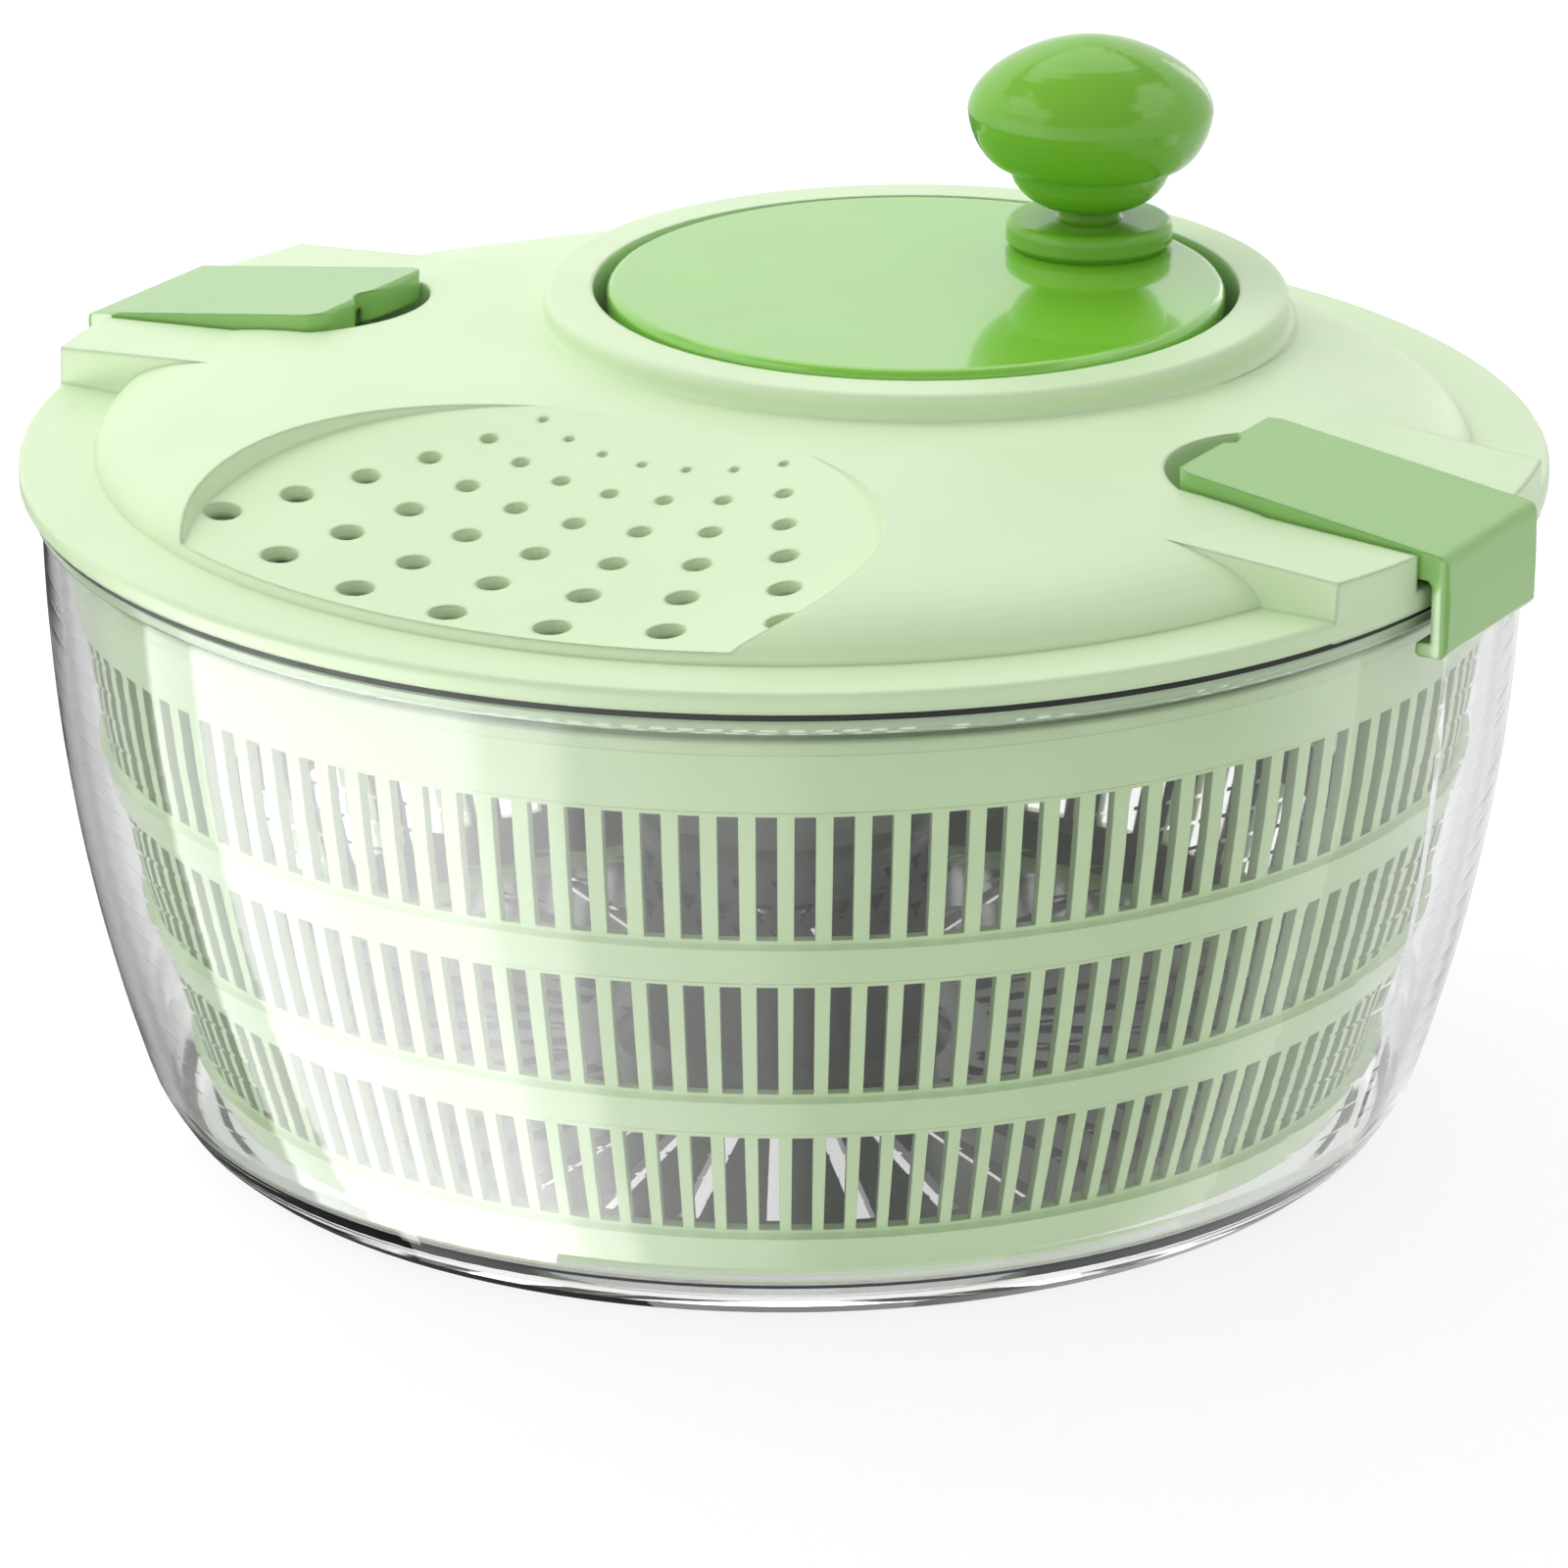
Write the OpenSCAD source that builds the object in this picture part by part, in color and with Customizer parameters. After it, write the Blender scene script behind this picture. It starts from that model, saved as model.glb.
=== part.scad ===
// Hand-cranked salad spinner: clear bowl, slotted basket, clip-on lid and gear drive.
// Millimetres, +Z up. The origin is the centre of the bowl's resting face.
// The lid clips lie on X, the crank towards +Y and the pouring strainer towards -Y.

/* [Bowl] */
// Height of the bowl's rim face
bowl_h = 111.2; // [105:0.2:118]
// Radius of the bowl's wall just below the rim
bowl_r = 126.4; // [118:0.1:136]
// How far the foot of the wall's curve lies in from the wall at the rim
foot_in = 18.4; // [16:0.2:22]
// How far the edge of the resting face lies in from the foot of the curve
base_in = 2.5; // [1:0.25:5]
// Thickness of the bowl's wall and floor
bowl_wall = 2.6; // [2.2:0.1:2.8]
// Height of the turned-in heel under the wall
heel_h = 11; // [8:0.5:14]
// How far the middle of the base is raised off the table
base_rise = 0.8; // [0.4:0.1:1.2]
// How far the rim lip stands out from the wall
rim_out = 1.6; // [1:0.1:1.8]
// Thickness of the rim lip
rim_t = 2.9; // [2:0.1:4]
// Radius of the centre post that carries the basket
post_r = 5; // [4:0.25:6]
// Radius of the foot of the centre post
post_foot_r = 10; // [8:0.5:13]

/* [Basket] */
// Height of the basket's lower edge
basket_z = 5.7; // [5:0.1:7]
// How far the basket's rim lies below the bowl's rim
basket_drop = 5.2; // [4.8:0.1:8]
// How far the basket's wall lies in from the bowl's wall at the top
basket_gap = 5.4; // [5.2:0.1:8]
// How far the basket's wall lies in from the foot of the bowl's curve
basket_foot_gap = 8.2; // [7:0.2:12]
// Height of the plain band below the lowest row of slots
foot_band = 8.9; // [6:0.1:11]
// Height of the plain bands between the rows
mid_band = 8.6; // [6:0.1:11]
// Height of the plain band above the top row
top_band = 13.6; // [11:0.1:16]
// Thickness of the basket's wall
basket_wall = 2; // [1.6:0.1:2.4]
// How far the plain bands stand out past the slotted rows
band_out = 1.2; // [0.6:0.1:1.4]
// How far the rim lip stands out past the wall
lip_out = 1.9; // [1.4:0.1:2]
// Slots in each row
slots = 124; // [84:4:144]
// Direction of the first slot, from +X
slot_turn = 0.45; // [0:0.05:2.5]
// Width of a slot
slot_w = 3.35; // [2.4:0.05:3.4]
// Radius of the raised drum in the middle of the floor
drum_r = 26.5; // [20:0.5:32]
// Height of the drum's top face
drum_top = 50; // [44:1:60]
// Radial drain slots in the floor
floor_slots = 36; // [24:4:48]
// Triangular holes in each row round the drum
tri_count = 24; // [16:2:28]
// Size of a triangular hole, centre to corner
tri_r = 2.3; // [1.5:0.1:2.6]

/* [Lid] */
// How far the lid's flange stands out past the bowl's wall
lid_over = 3.6; // [3.6:0.1:5]
// Depth of the flange's edge band
edge_h = 3.6; // [3:0.2:4.4]
// Thickness of the seal between lid and bowl
seal_t = 1.2; // [0.6:0.1:1.6]
// Width of the flat flange round the crown
flange_w = 13; // [12:0.25:14]
// Height of the crown above the flange
crown_h = 11.2; // [10:0.2:12]
// Thickness of the lid's shell
shell_t = 2.4; // [2:0.1:2.6]
// Radius of the strainer dish's floor, across its slope
dish_r = 323; // [310:1:340]
// How far the middle of the dish's outline lies in from the crown's edge
dish_in = 34.5; // [34:0.1:35]
// Half the width of the dish's outline
dish_half = 60.5; // [58:0.1:61]
// Half the length of the dish's outline
dish_length = 51; // [49:0.1:51.5]
// Squareness of the dish's outline: 2 is an ellipse
dish_power = 2.1; // [2:0.1:2.4]
// Least width of the crown's edge outside the dish
dish_lip = 0.7; // [0.4:0.1:1.5]
// Lean of the dish's side wall, from upright
dish_lean = 20; // [10:1:25]
// Depth of the dish's lowest part below the flange's face
dish_drop = 0.8; // [0.2:0.1:1]
// Rays of holes in the strainer
ray_count = 7; // [5:2:9]
// Angle between two rays
ray_step = 10.3; // [8:0.1:10.5]
// Holes along a ray
ring_count = 6; // [3:1:6]
// How far the outermost holes lie in from the crown's edge
hole_in = 12.3; // [12:0.1:14]
// Spacing of the two innermost holes of a ray
ring_step = 10.1; // [9:0.1:10.4]
// Growth of the spacing from one hole of a ray to the next
ring_growth = 0.85; // [0.5:0.05:0.9]
// Diameter of the innermost holes
hole_small = 1.7; // [1.2:0.1:2.4]
// Diameter of the outermost holes
hole_large = 6.3; // [5:0.1:7]

/* [Crank] */
// How far the collar stands in from the crown's edge
collar_in = 6.9; // [6.4:0.1:9]
// Thickness of the crank disc's plate
disc_t = 3.2; // [2.6:0.1:3.6]
// Rounding of the disc's top edge
disc_round = 1.8; // [1:0.1:2.4]
// Gap between the disc and the wall of its well
well_gap = 2.5; // [2:0.1:3]
// Width of the collar round the well at its top
collar_w = 8.6; // [8:0.1:9.4]
// Height of the collar above the flange
collar_h = 15.7; // [15:0.1:17]
// How far the disc's face stands above the collar
disc_proud = 0.8; // [0.4:0.1:1.6]
// How far the knob's axis lies in from the disc's edge
knob_in = 15.6; // [15:0.2:18]
// Direction of the knob at rest, from +X
knob_angle = 66.9; // [0:0.1:360]

/* [Gears] */
// Gap between the pinion's teeth and the wall of the well
pinion_gap = 1.5; // [1.2:0.1:3]
// Teeth on the drive gear under the crank
gear_teeth = 72; // [72:18:72]
// Teeth on the pinion
pinion_teeth = 18; // [18:2:18]
// Face width of the drive gear and pinion
gear_t = 6; // [5:0.25:6.5]
// Backlash along the pitch line
backlash = 0.2; // [0.15:0.01:0.3]
// Radius of the drive shaft
shaft_r = 3; // [2.5:0.1:3.5]
// Radius of the crank's spindle
spindle_r = 5; // [4:0.1:5.5]

/* [Drive plate] */
// Arms that reach out to the basket
arm_count = 4; // [3:1:6]
// Width of an arm
arm_w = 16; // [12:0.5:20]
// Thickness of an arm
arm_t = 3.2; // [2.4:0.1:3.4]
// Width of the rib in the basket that each fork straddles
lug_w = 6; // [4:0.25:7]
// Length of the fork prongs below the arm
prong_h = 9; // [6:0.5:12]

/* [Clips] */
// Half-width of a clip
clip_half = 16.9; // [14:0.1:18]
// Gap between a clip's leg and the flange edge
clip_reach = 1; // [0.8:0.1:1.4]
// Thickness of the clip's leg
leg_t = 2.7; // [2.2:0.1:3.2]
// Inward length of the hook at the foot of the leg
hook_in = 2.7; // [1.5:0.1:2.8]
// Thickness of the hook
hook_t = 2.2; // [1.6:0.1:2.6]
// Gap between the rim lip and the hook under it
hook_gap = 1.2; // [0.8:0.1:3.4]
// How far a clip reaches in from the flange's edge
clip_cover = 46.6; // [44:0.2:48]
// Radius of the hinge pins
pin_r = 1.2; // [1:0.1:1.3]
// How far the hinge pins lie in from the flange's edge
pin_in = 10; // [9:0.25:11]

/* [Knob] */
// Radius of the puck under the knob
puck_r = 14.8; // [12:0.2:15]
// Height of the puck
puck_h = 5; // [4:0.25:6]
// Radius of the neck
neck_r = 5.4; // [5:0.1:6]
// Height of the neck
neck_h = 1.7; // [1.2:0.1:2.5]
// Radius of the knob's cup at the seam
cup_r = 14.2; // [13:0.1:14.8]
// Height of the knob's cup
cup_h = 7.7; // [7:0.1:9]
// Largest radius of the grip
grip_r = 21.7; // [19:0.1:23]
// Height of the grip
grip_h = 23; // [20:0.2:25]
// Height of the grip's widest part above the seam
grip_belly = 10; // [8:0.25:12]
// Radius of the knob's spindle
axle_r = 3.5; // [3:0.1:4]

/* [Hidden] */
// Radius of the fillet at the collar's foot
collar_foot = 1.4;
// Running clearance of a shaft in its bore, on the radius
run_fit = 0.05;
// Clearance between bodies that move past one another
move_gap = 0.3;
// Clearance of a screw or press-in bush in its hole, on the radius
seat_fit = 0.05;
// Length of a cut that passes right through a piece
through = 240;
$fn = 96;

// Radii that follow the bowl's
bowl_foot_r = bowl_r - foot_in;
bowl_base_r = bowl_foot_r - base_in;
rim_r = bowl_r + rim_out;
basket_r = bowl_r - basket_gap;
basket_foot_r = bowl_foot_r - basket_foot_gap;
lid_r = bowl_r + lid_over;
crown_r = lid_r - flange_w;
dish_y = crown_r - dish_in;
dish_axis_y = crown_r + 33;
dish_flat_r = 30;
dish_facets = 72;
dish_facet_w = 12;
dish_band = 12;
dish_rise = 2;

// Heights of the stacked pieces
seal_z = bowl_h;
edge_z = seal_z + seal_t;
lid_z = edge_z + edge_h;
collar_z = lid_z + collar_h;
disc_top = collar_z + disc_proud;
disc_z = disc_top - disc_t;
floor_z = base_rise + bowl_wall;
basket_top = bowl_h - basket_drop;

// Pivot of the basket
bush_wall = 2.5;
bush_r = post_r + bush_wall;
bush_h = 12;
bush_cap = 2;
drum_skin = 2;
pivot_z = drum_top - 2 * drum_skin;
bush_z = pivot_z - bush_h;
post_top = pivot_z - bush_cap;

// Basket rows, from the lowest: share of the slotted height, lower and upper height of each
row_share = [0.304, 0.333, 0.363];
rows = len(row_share);
slotted_h = basket_top - basket_z - foot_band - top_band - (rows - 1) * mid_band;
row_low = [for (k = [0:rows - 1]) basket_z + foot_band + k * mid_band + slotted_h * share_below(k)];
row_high = [for (k = [0:rows - 1]) row_low[k] + slotted_h * row_share[k]];
lip_h = 2.2;
basket_floor_t = 2.2;
basket_bend = 1.6;
bowl_bend = 2.2;

// Well, gears and bearings: the module is the largest at which the pinion clears the well's wall
gear_module = (crown_r - collar_in - collar_w - pinion_gap) / (gear_teeth + 1.5 * pinion_teeth + 1);
centre_y = gear_module * (gear_teeth + pinion_teeth) / 2;
collar_r = crown_r - collar_in - centre_y;
well_r = collar_r - collar_w;
disc_r = well_r - well_gap;
well_floor_z = lid_z + 1.6;
well_under_z = well_floor_z - shell_t;
bush_flange_t = 1.2;
bush_flange_r = 7.5;
bush_body_r = shaft_r + 2;
gear_z = well_floor_z + bush_flange_t + move_gap;
gear_top = gear_z + gear_t;
shaft_boss_r = bush_body_r + 3;
shaft_boss_z = well_under_z - 2.4;
sleeve_wall = 2;
sleeve_r = spindle_r + sleeve_wall;
crank_post_r = sleeve_r + 2.5;
crank_post_top = gear_top - 1;
gear_bore_r = crank_post_r + 3.5;
gear_boss_r = 4;
gear_boss_at = 23;
gear_screw_r = 1.5;
gear_head_r = 2.8;
gear_head_t = 2;
disc_skirt_t = 2.5;
disc_skirt_h = 2.8;
crank_end_z = well_under_z + 0.6;
crank_washer_t = 1.2;
crank_washer_r = 9;
crank_screw_r = 2;
crank_head_r = 4.5;
crank_head_t = 2.2;
shaft_top = gear_top + 1;

// Drive plate
hub_r = 14;
hub_top = shaft_boss_z - move_gap;
arm_top = well_under_z - move_gap - crank_washer_t - crank_head_t - 0.9;
arm_z = arm_top - arm_t;
hub_z = arm_z - 2;
prong_z = arm_z - prong_h;
prong_t = 4;
fork_gap = 0.5;
prong_out = basket_inner(prong_z) - 0.8;
prong_in = prong_out - 4.6;
lug_in = prong_in + 0.6;
lug_top = basket_top - 2;
lug_z = lug_top - 8;
plate_washer_t = 1;
plate_washer_r = 6;
plate_screw_r = 1.5;
plate_head_r = 3.5;
plate_head_t = 2;
shaft_end = hub_z + 0.4;

// Clips, in the plane across the hinge: x from the lid's axis, z above the base
clip_inner = lid_r - clip_cover;
pin_x = lid_r - pin_in;
pin_z = lid_z + 4.6;
leg_in = lid_r + clip_reach;
leg_out = leg_in + leg_t;
hook_z = seal_z - rim_t - hook_gap - hook_t;
clip_top_in = lid_z + 13.1;
clip_top_out = lid_z + 6;
clip_low_in = lid_z + 8;
clip_low = lid_z + 1.9;
clip_skin = 2.6;
clip_rib = 2.2;
pocket_z = lid_z + 1.2;
pocket_half = clip_half + 0.7;
barrel_r = pin_r + 1.5;
clip_top_slope = (clip_top_in - clip_top_out) / (leg_out - clip_inner);
hollow_in = clip_inner + 2.4;
hollow_out = pin_x - barrel_r - 1;
hollow_top = clip_top_in - clip_skin - 0.4;
shoulder_half = 37.7;
shoulder_draft = 4;
shoulder_fall = 3.9;
shoulder_z = lid_z + 6.65;
recess_r = 21.4;
recess_x = clip_inner + 14;
pin_half = 26;

// Knob
knob_throw = disc_r - knob_in;
knob_x = knob_throw * cos(knob_angle);
knob_y = centre_y + knob_throw * sin(knob_angle);
puck_top = disc_top + puck_h;
neck_top = puck_top + neck_h;
cup_z = neck_top + move_gap;
seam_z = cup_z + cup_h;
grip_top = seam_z + grip_h;
grip_mid = seam_z + grip_belly;
grip_skin = 2.4;
tube_r = axle_r + 2.6;
tube_top = seam_z + 8;
axle_head_r = 6;
axle_head_t = 2.2;
knob_washer_t = 1;
knob_washer_r = 5.6;
knob_screw_r = 1.6;
knob_head_r = 3.4;
knob_head_t = 2.2;

pale_green = [0.80, 0.91, 0.72];
mid_green = [0.55, 0.74, 0.42];
leaf_green = [0.40, 0.64, 0.20];
clear_grey = [0.86, 0.88, 0.88, 0.45];
steel = [0.75, 0.76, 0.78];
acetal = [0.93, 0.93, 0.90];
dark_rubber = [0.12, 0.13, 0.12];

// ---- shared curves ----

// Share of the slotted height that lies below row k
function share_below(k) = k == 0 ? 0 : row_share[k - 1] + share_below(k - 1);

// Points on an arc about (cx, cz)
function arc(cx, cz, r, a0, a1, n = 6) =
    [for (i = [0:n]) let (a = a0 + (a1 - a0) * i / n) [cx + r * cos(a), cz + r * sin(a)]];

// Outer radius of the bowl's wall at height z, with the heel turned in below heel_h
function wall_curve(z) =
    bowl_foot_r + (bowl_r - bowl_foot_r) * (1 - pow(1 - z / bowl_h, bowl_bend));
function bowl_outer(z) =
    z >= heel_h ? wall_curve(z)
    : wall_curve(heel_h) - (wall_curve(heel_h) - bowl_base_r) * pow(1 - z / heel_h, 1.3);
function bowl_inner(z) = bowl_outer(z) - bowl_wall;

// Outer radius of the basket's slotted wall at height z
function basket_outer(z) =
    basket_foot_r + (basket_r - basket_foot_r)
    * (1 - pow(1 - (z - basket_z) / (basket_top - basket_z), basket_bend));
function basket_inner(z) = basket_outer(z) - basket_wall;

// Height of the lid's crown above the flange at radius r
function crown(r) = crown_h * sqrt(max(0, 1 - pow(r / crown_r, 5.5)));

// Distance of ring k of the strainer's holes from the innermost ring
function ring_out(k) = ring_step * k + ring_growth * k * (k - 1) / 2;

// Point on an involute of base radius rb, at radius r, turned by a
function involute(rb, r, a) =
    let (t = sqrt(max(0, pow(r / rb, 2) - 1)), w = t * 180 / PI - atan(t))
    [r * cos(a + w), r * sin(a + w)];

// One tooth of a spur gear: root, rising flank, falling flank, root
function tooth(n, m, play, i) =
    let (r = m * n / 2, rb = r * cos(20), root = r - 1.25 * m, tip = r + m,
        low = max(root, rb), steps = 5,
        at_pitch = tan(20) * 180 / PI - 20,
        half = 90 / n - play / 2 / r * 180 / PI / 2 + at_pitch,
        mid = i * 360 / n)
    concat(
        [[root * cos(mid - half), root * sin(mid - half)]],
        [for (k = [0:steps]) involute(rb, low + (tip - low) * k / steps, mid - half)],
        [for (k = [steps:-1:0])
            let (p = involute(rb, low + (tip - low) * k / steps, -half))
            [p[0] * cos(mid) + p[1] * sin(mid), p[0] * sin(mid) - p[1] * cos(mid)]],
        [[root * cos(mid + half), root * sin(mid + half)]]);

module spur_outline(n, m, play)
    polygon([for (i = [0:n - 1]) for (p = tooth(n, m, play, i)) p]);

// Headed screw pointing up: head below height z, shank above it
module screw_up(z, head_r, head_t, shank_r, shank_l) {
    difference() {
        union() {
            translate([0, 0, z - head_t]) cylinder(r = head_r, h = head_t);
            translate([0, 0, z]) cylinder(r = shank_r, h = shank_l);
        }
        // hexagon socket
        translate([0, 0, z - head_t - 1]) cylinder(r = head_r * 0.5, h = 1 + head_t * 0.6, $fn = 6);
    }
}

// Tube standing on height z
module tube(z, r_in, r_out, h)
    translate([0, 0, z]) difference() {
        cylinder(r = r_out, h = h);
        translate([0, 0, -1]) cylinder(r = r_in, h = h + 2);
    }

module at_crank() translate([0, centre_y, 0]) children();
module at_knob() translate([knob_x, knob_y, 0]) children();

// ---- bowl and pivot ----

module bowl() color(clear_grey) {
    steps = 22;
    rise = bowl_h - rim_t - heel_h;
    rotate_extrude() polygon(concat(
        [[0, base_rise], [bowl_base_r - 6, base_rise], [bowl_base_r - 5, 0], [bowl_base_r - 1, 0]],
        [for (i = [1:5]) let (z = heel_h * i / 5) [bowl_outer(z), z]],
        [for (i = [1:steps]) let (z = heel_h + rise * i / steps) [bowl_outer(z), z]],
        arc(rim_r - 0.8, bowl_h - rim_t + 0.8, 0.8, -90, 0, 3),
        arc(rim_r - 0.8, bowl_h - 0.8, 0.8, 0, 90, 3),
        [[bowl_inner(bowl_h) + 0.6, bowl_h], [bowl_inner(bowl_h), bowl_h - 0.6]],
        [for (i = [steps:-1:0]) let (z = heel_h + rise * i / steps) [bowl_inner(z), z]],
        [for (i = [3:-1:0])
            let (a = 90 * i / 3, z = floor_z + (heel_h - floor_z) * (1 - cos(a)))
            [bowl_inner(heel_h) - 6 * (1 - sin(a)), z]],
        [[post_foot_r + 4, floor_z], [post_foot_r, floor_z + 3], [post_r, bush_z - 2],
            [post_r, post_top - 0.6], [post_r - 0.6, post_top], [0, post_top]]));
}

module pivot_bush() color(acetal)
    translate([0, 0, bush_z]) difference() {
        cylinder(r = bush_r, h = bush_h);
        translate([0, 0, -1]) cylinder(r = post_r + run_fit, h = bush_h - bush_cap + 1);
    }

// ---- basket ----

// Outline of the basket's wall: plain bands stand out between the slotted rows
function basket_outline() = concat(
    [[basket_outer(basket_z) - 1, basket_z], [basket_outer(basket_z) + band_out, basket_z + 1.4]],
    [for (k = [0:rows - 1]) each concat(
        [[basket_outer(row_low[k]) + band_out, row_low[k] - 1.2]],
        [for (i = [0:2]) let (z = row_low[k] - 0.6 + (row_high[k] - row_low[k] + 1.2) * i / 2)
            [basket_outer(z), z]],
        [[basket_outer(row_high[k]) + band_out, row_high[k] + 1.2]])],
    [[basket_outer(basket_top - lip_h) + band_out, basket_top - lip_h - 0.6],
        [basket_r + lip_out, basket_top - lip_h]],
    arc(basket_r + lip_out - 0.8, basket_top - 0.8, 0.8, 0, 90, 3),
    [[basket_inner(basket_top), basket_top]],
    [for (i = [8:-1:0])
        let (z = basket_z + basket_floor_t + 4 + (basket_top - 4 - basket_z - basket_floor_t - 4) * i / 8)
        [basket_inner(z), z]],
    [[basket_inner(basket_z) - 3, basket_z + basket_floor_t]],
    [[drum_r + 3, basket_z + basket_floor_t], [drum_r, basket_z + basket_floor_t + 3]],
    [[drum_r, drum_top - 3]],
    arc(drum_r - 3, drum_top - 3, 3, 15, 90, 4),
    [[0, drum_top], [0, pivot_z], [bush_r + run_fit, pivot_z], [bush_r + run_fit, bush_z - 0.6],
        [bush_r + run_fit + 2, bush_z - 0.6], [bush_r + run_fit + 2, drum_top - drum_skin]],
    [[drum_r - drum_skin, drum_top - drum_skin - 1], [drum_r - drum_skin, basket_z]]);

// Comb of radial slots between two radii
module slot_comb(count, width, r_in, r_out)
    for (i = [0:count - 1])
        rotate(i * 360 / count) translate([r_in, -width / 2]) square([r_out - r_in, width]);

module basket() color(pale_green) {
    difference() {
        rotate_extrude() polygon(basket_outline());
        for (k = [0:rows - 1])
            translate([0, 0, row_low[k]]) rotate(slot_turn) linear_extrude(row_high[k] - row_low[k])
                slot_comb(slots, slot_w, basket_inner(row_low[k]) - 4, basket_r + 4);
        translate([0, 0, basket_z - 1]) linear_extrude(basket_floor_t + 1.6)
            slot_comb(floor_slots, 3.4, drum_r + 10, basket_foot_r - 16);
        for (k = [0:2])
            for (i = [0:tri_count - 1])
                translate([0, 0, drum_top - 5.6 - 4.4 * k])
                    rotate([0, 0, (i + k / 2) * 360 / tri_count])
                        translate([drum_r - drum_skin - 2, 0, 0]) rotate([0, 90, 0])
                            cylinder(r = tri_r, h = drum_skin + 4, $fn = 3);
    }
    // ribs that the drive plate's forks straddle
    for (i = [0:arm_count - 1])
        rotate((i + 0.5) * 360 / arm_count) intersection() {
            translate([lug_in, -lug_w / 2, lug_z]) cube([basket_r - lug_in, lug_w, lug_top - lug_z]);
            rotate_extrude() polygon([[0, lug_z], [basket_outer(lug_z) - 0.6, lug_z],
                [basket_outer(lug_top) - 0.6, lug_top], [0, lug_top]]);
        }
}

// ---- lid ----

// Solid below the crown, dropped by d, for radii up to r_max
module crown_solid(d, r_max) {
    n = 22;
    rotate_extrude() polygon(concat(
        [[0, edge_z - 1], [r_max, edge_z - 1]],
        [for (i = [0:n]) let (r = r_max * (1 - pow(i / n, 2.2))) [r, lid_z + crown(r + d) - d]]));
}

// Flange with its rounded edge band and the ring that centres the lid in the bowl
module flange_ring() {
    rotate_extrude() polygon(concat(
        [[bowl_inner(bowl_h) - 4, edge_z], [bowl_inner(bowl_h) - 3.4, basket_top + 2],
            [bowl_inner(bowl_h) - 1.2, basket_top + 2], [bowl_inner(bowl_h) - 0.7, edge_z]],
        arc(lid_r - 0.6, edge_z + 0.6, 0.6, -90, 0, 2),
        arc(lid_r - 0.9, lid_z - 0.9, 0.9, 0, 90, 4),
        [[crown_r - 3, lid_z], [crown_r - 3, edge_z]]));
}

// Collar round the crank's well, with a spreading foot
module collar_solid()
    at_crank() rotate_extrude() polygon(concat(
        [[0, edge_z], [collar_r + 1.8, edge_z], [collar_r + collar_foot, lid_z + crown_h - 0.4]],
        arc(collar_r + collar_foot, lid_z + crown_h + collar_foot - 0.4, collar_foot, -90, -180, 4),
        arc(collar_r - 1.4, collar_z - 1.4, 1.4, 0, 90, 4),
        [[0, collar_z]]));

// Hollow inside the collar and below the well's floor
module collar_hollow()
    at_crank() rotate_extrude() polygon([
        [0, edge_z - 1], [collar_r - shell_t, edge_z - 1], [collar_r - shell_t, collar_z - shell_t],
        [well_r + shell_t, collar_z - shell_t], [well_r + shell_t, well_under_z], [0, well_under_z]]);

// Space on the inner side of a shoulder's drafted face
module inside_shoulder()
    translate([0, shoulder_half, lid_z]) rotate([shoulder_draft, 0, 0])
        translate([clip_inner, -through, -through / 2]) cube(through);

// Raised shoulders beside a clip: flat tops that fall outwards, drafted sides
module clip_shoulders()
    intersection() {
        translate([0, 0, edge_z]) cylinder(r = lid_r - 0.1, h = collar_h + edge_h);
        translate([pin_x, 0, shoulder_z]) rotate([0, shoulder_fall, 0])
            translate([-through / 2, -through / 2, -through]) cube(through);
        inside_shoulder();
        mirror([0, 1, 0]) inside_shoulder();
    }

// Plan of the pocket: a finger recess with a round inner end, grown by d
module pocket_plan(d) {
    circle(r = recess_r + d);
    translate([0, -pocket_half - d]) square([crown_r - recess_x + d, 2 * (pocket_half + d)]);
}

// Height of the dish's floor at distance d from the axis it is turned about, beyond the crown's edge
function dish_floor(d) =
    lid_z - dish_drop + dish_r - sqrt(dish_r * dish_r - pow(max(0, d - dish_flat_r), 2));

// Point k of the dish's outline grown by g, from the outline's middle
function dish_point(k, g) = let (a = 360 * k / dish_facets, c = cos(a), s = sin(a))
    [(dish_half + g) * sign(c) * pow(abs(c), 2 / dish_power),
    (dish_length + g) * sign(s) * pow(abs(s), 2 / dish_power)];

// Bearing the dish's outline faces at point k
function dish_way(k) = let (p = dish_point(k, 0), w = dish_power - 1)
    atan2(sign(p.y) * pow(abs(p.y / dish_length), w) / dish_length,
        sign(p.x) * pow(abs(p.x / dish_half), w) / dish_half);

// Everything outside the dish's leaning side wall, near its outline grown by g
module outside_dish(g)
    for (k = [0:dish_facets - 1])
        let (at = dish_point(k, 0) - [0, dish_y])
        if (norm(at) < crown_r)
            translate([at.x, at.y, lid_z + crown_h]) rotate([0, 0, dish_way(k)])
                rotate([0, dish_lean, 0])
                translate([g, -dish_facet_w / 2, -dish_band]) cube([dish_band, dish_facet_w, 1.5 * dish_band]);

// Space of the strainer dish above its floor, grown by g
module dish_space(g) {
    steps = 24;
    difference() {
        intersection() {
            translate([0, -dish_axis_y, 0]) rotate_extrude() polygon(concat(
                [[0, collar_z + 1], [0, dish_floor(0) - g]],
                [for (k = [0:steps]) let (d = dish_flat_r + (dish_axis_y - dish_flat_r) * k / steps)
                    [d, dish_floor(d) - g]],
                [[dish_axis_y, collar_z + 1]]));
            translate([0, 0, lid_z + dish_rise - dish_band])
                cylinder(r1 = crown_r - dish_lip + g - dish_band * tan(2 * dish_lean),
                    r2 = crown_r - dish_lip + g + dish_band * tan(2 * dish_lean), h = 2 * dish_band);
            translate([0, -dish_y, edge_z - dish_band]) linear_extrude(through)
                polygon([for (k = [0:dish_facets - 1]) dish_point(k, g + dish_band / 2)]);
        }
        outside_dish(g);
    }
}

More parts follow.
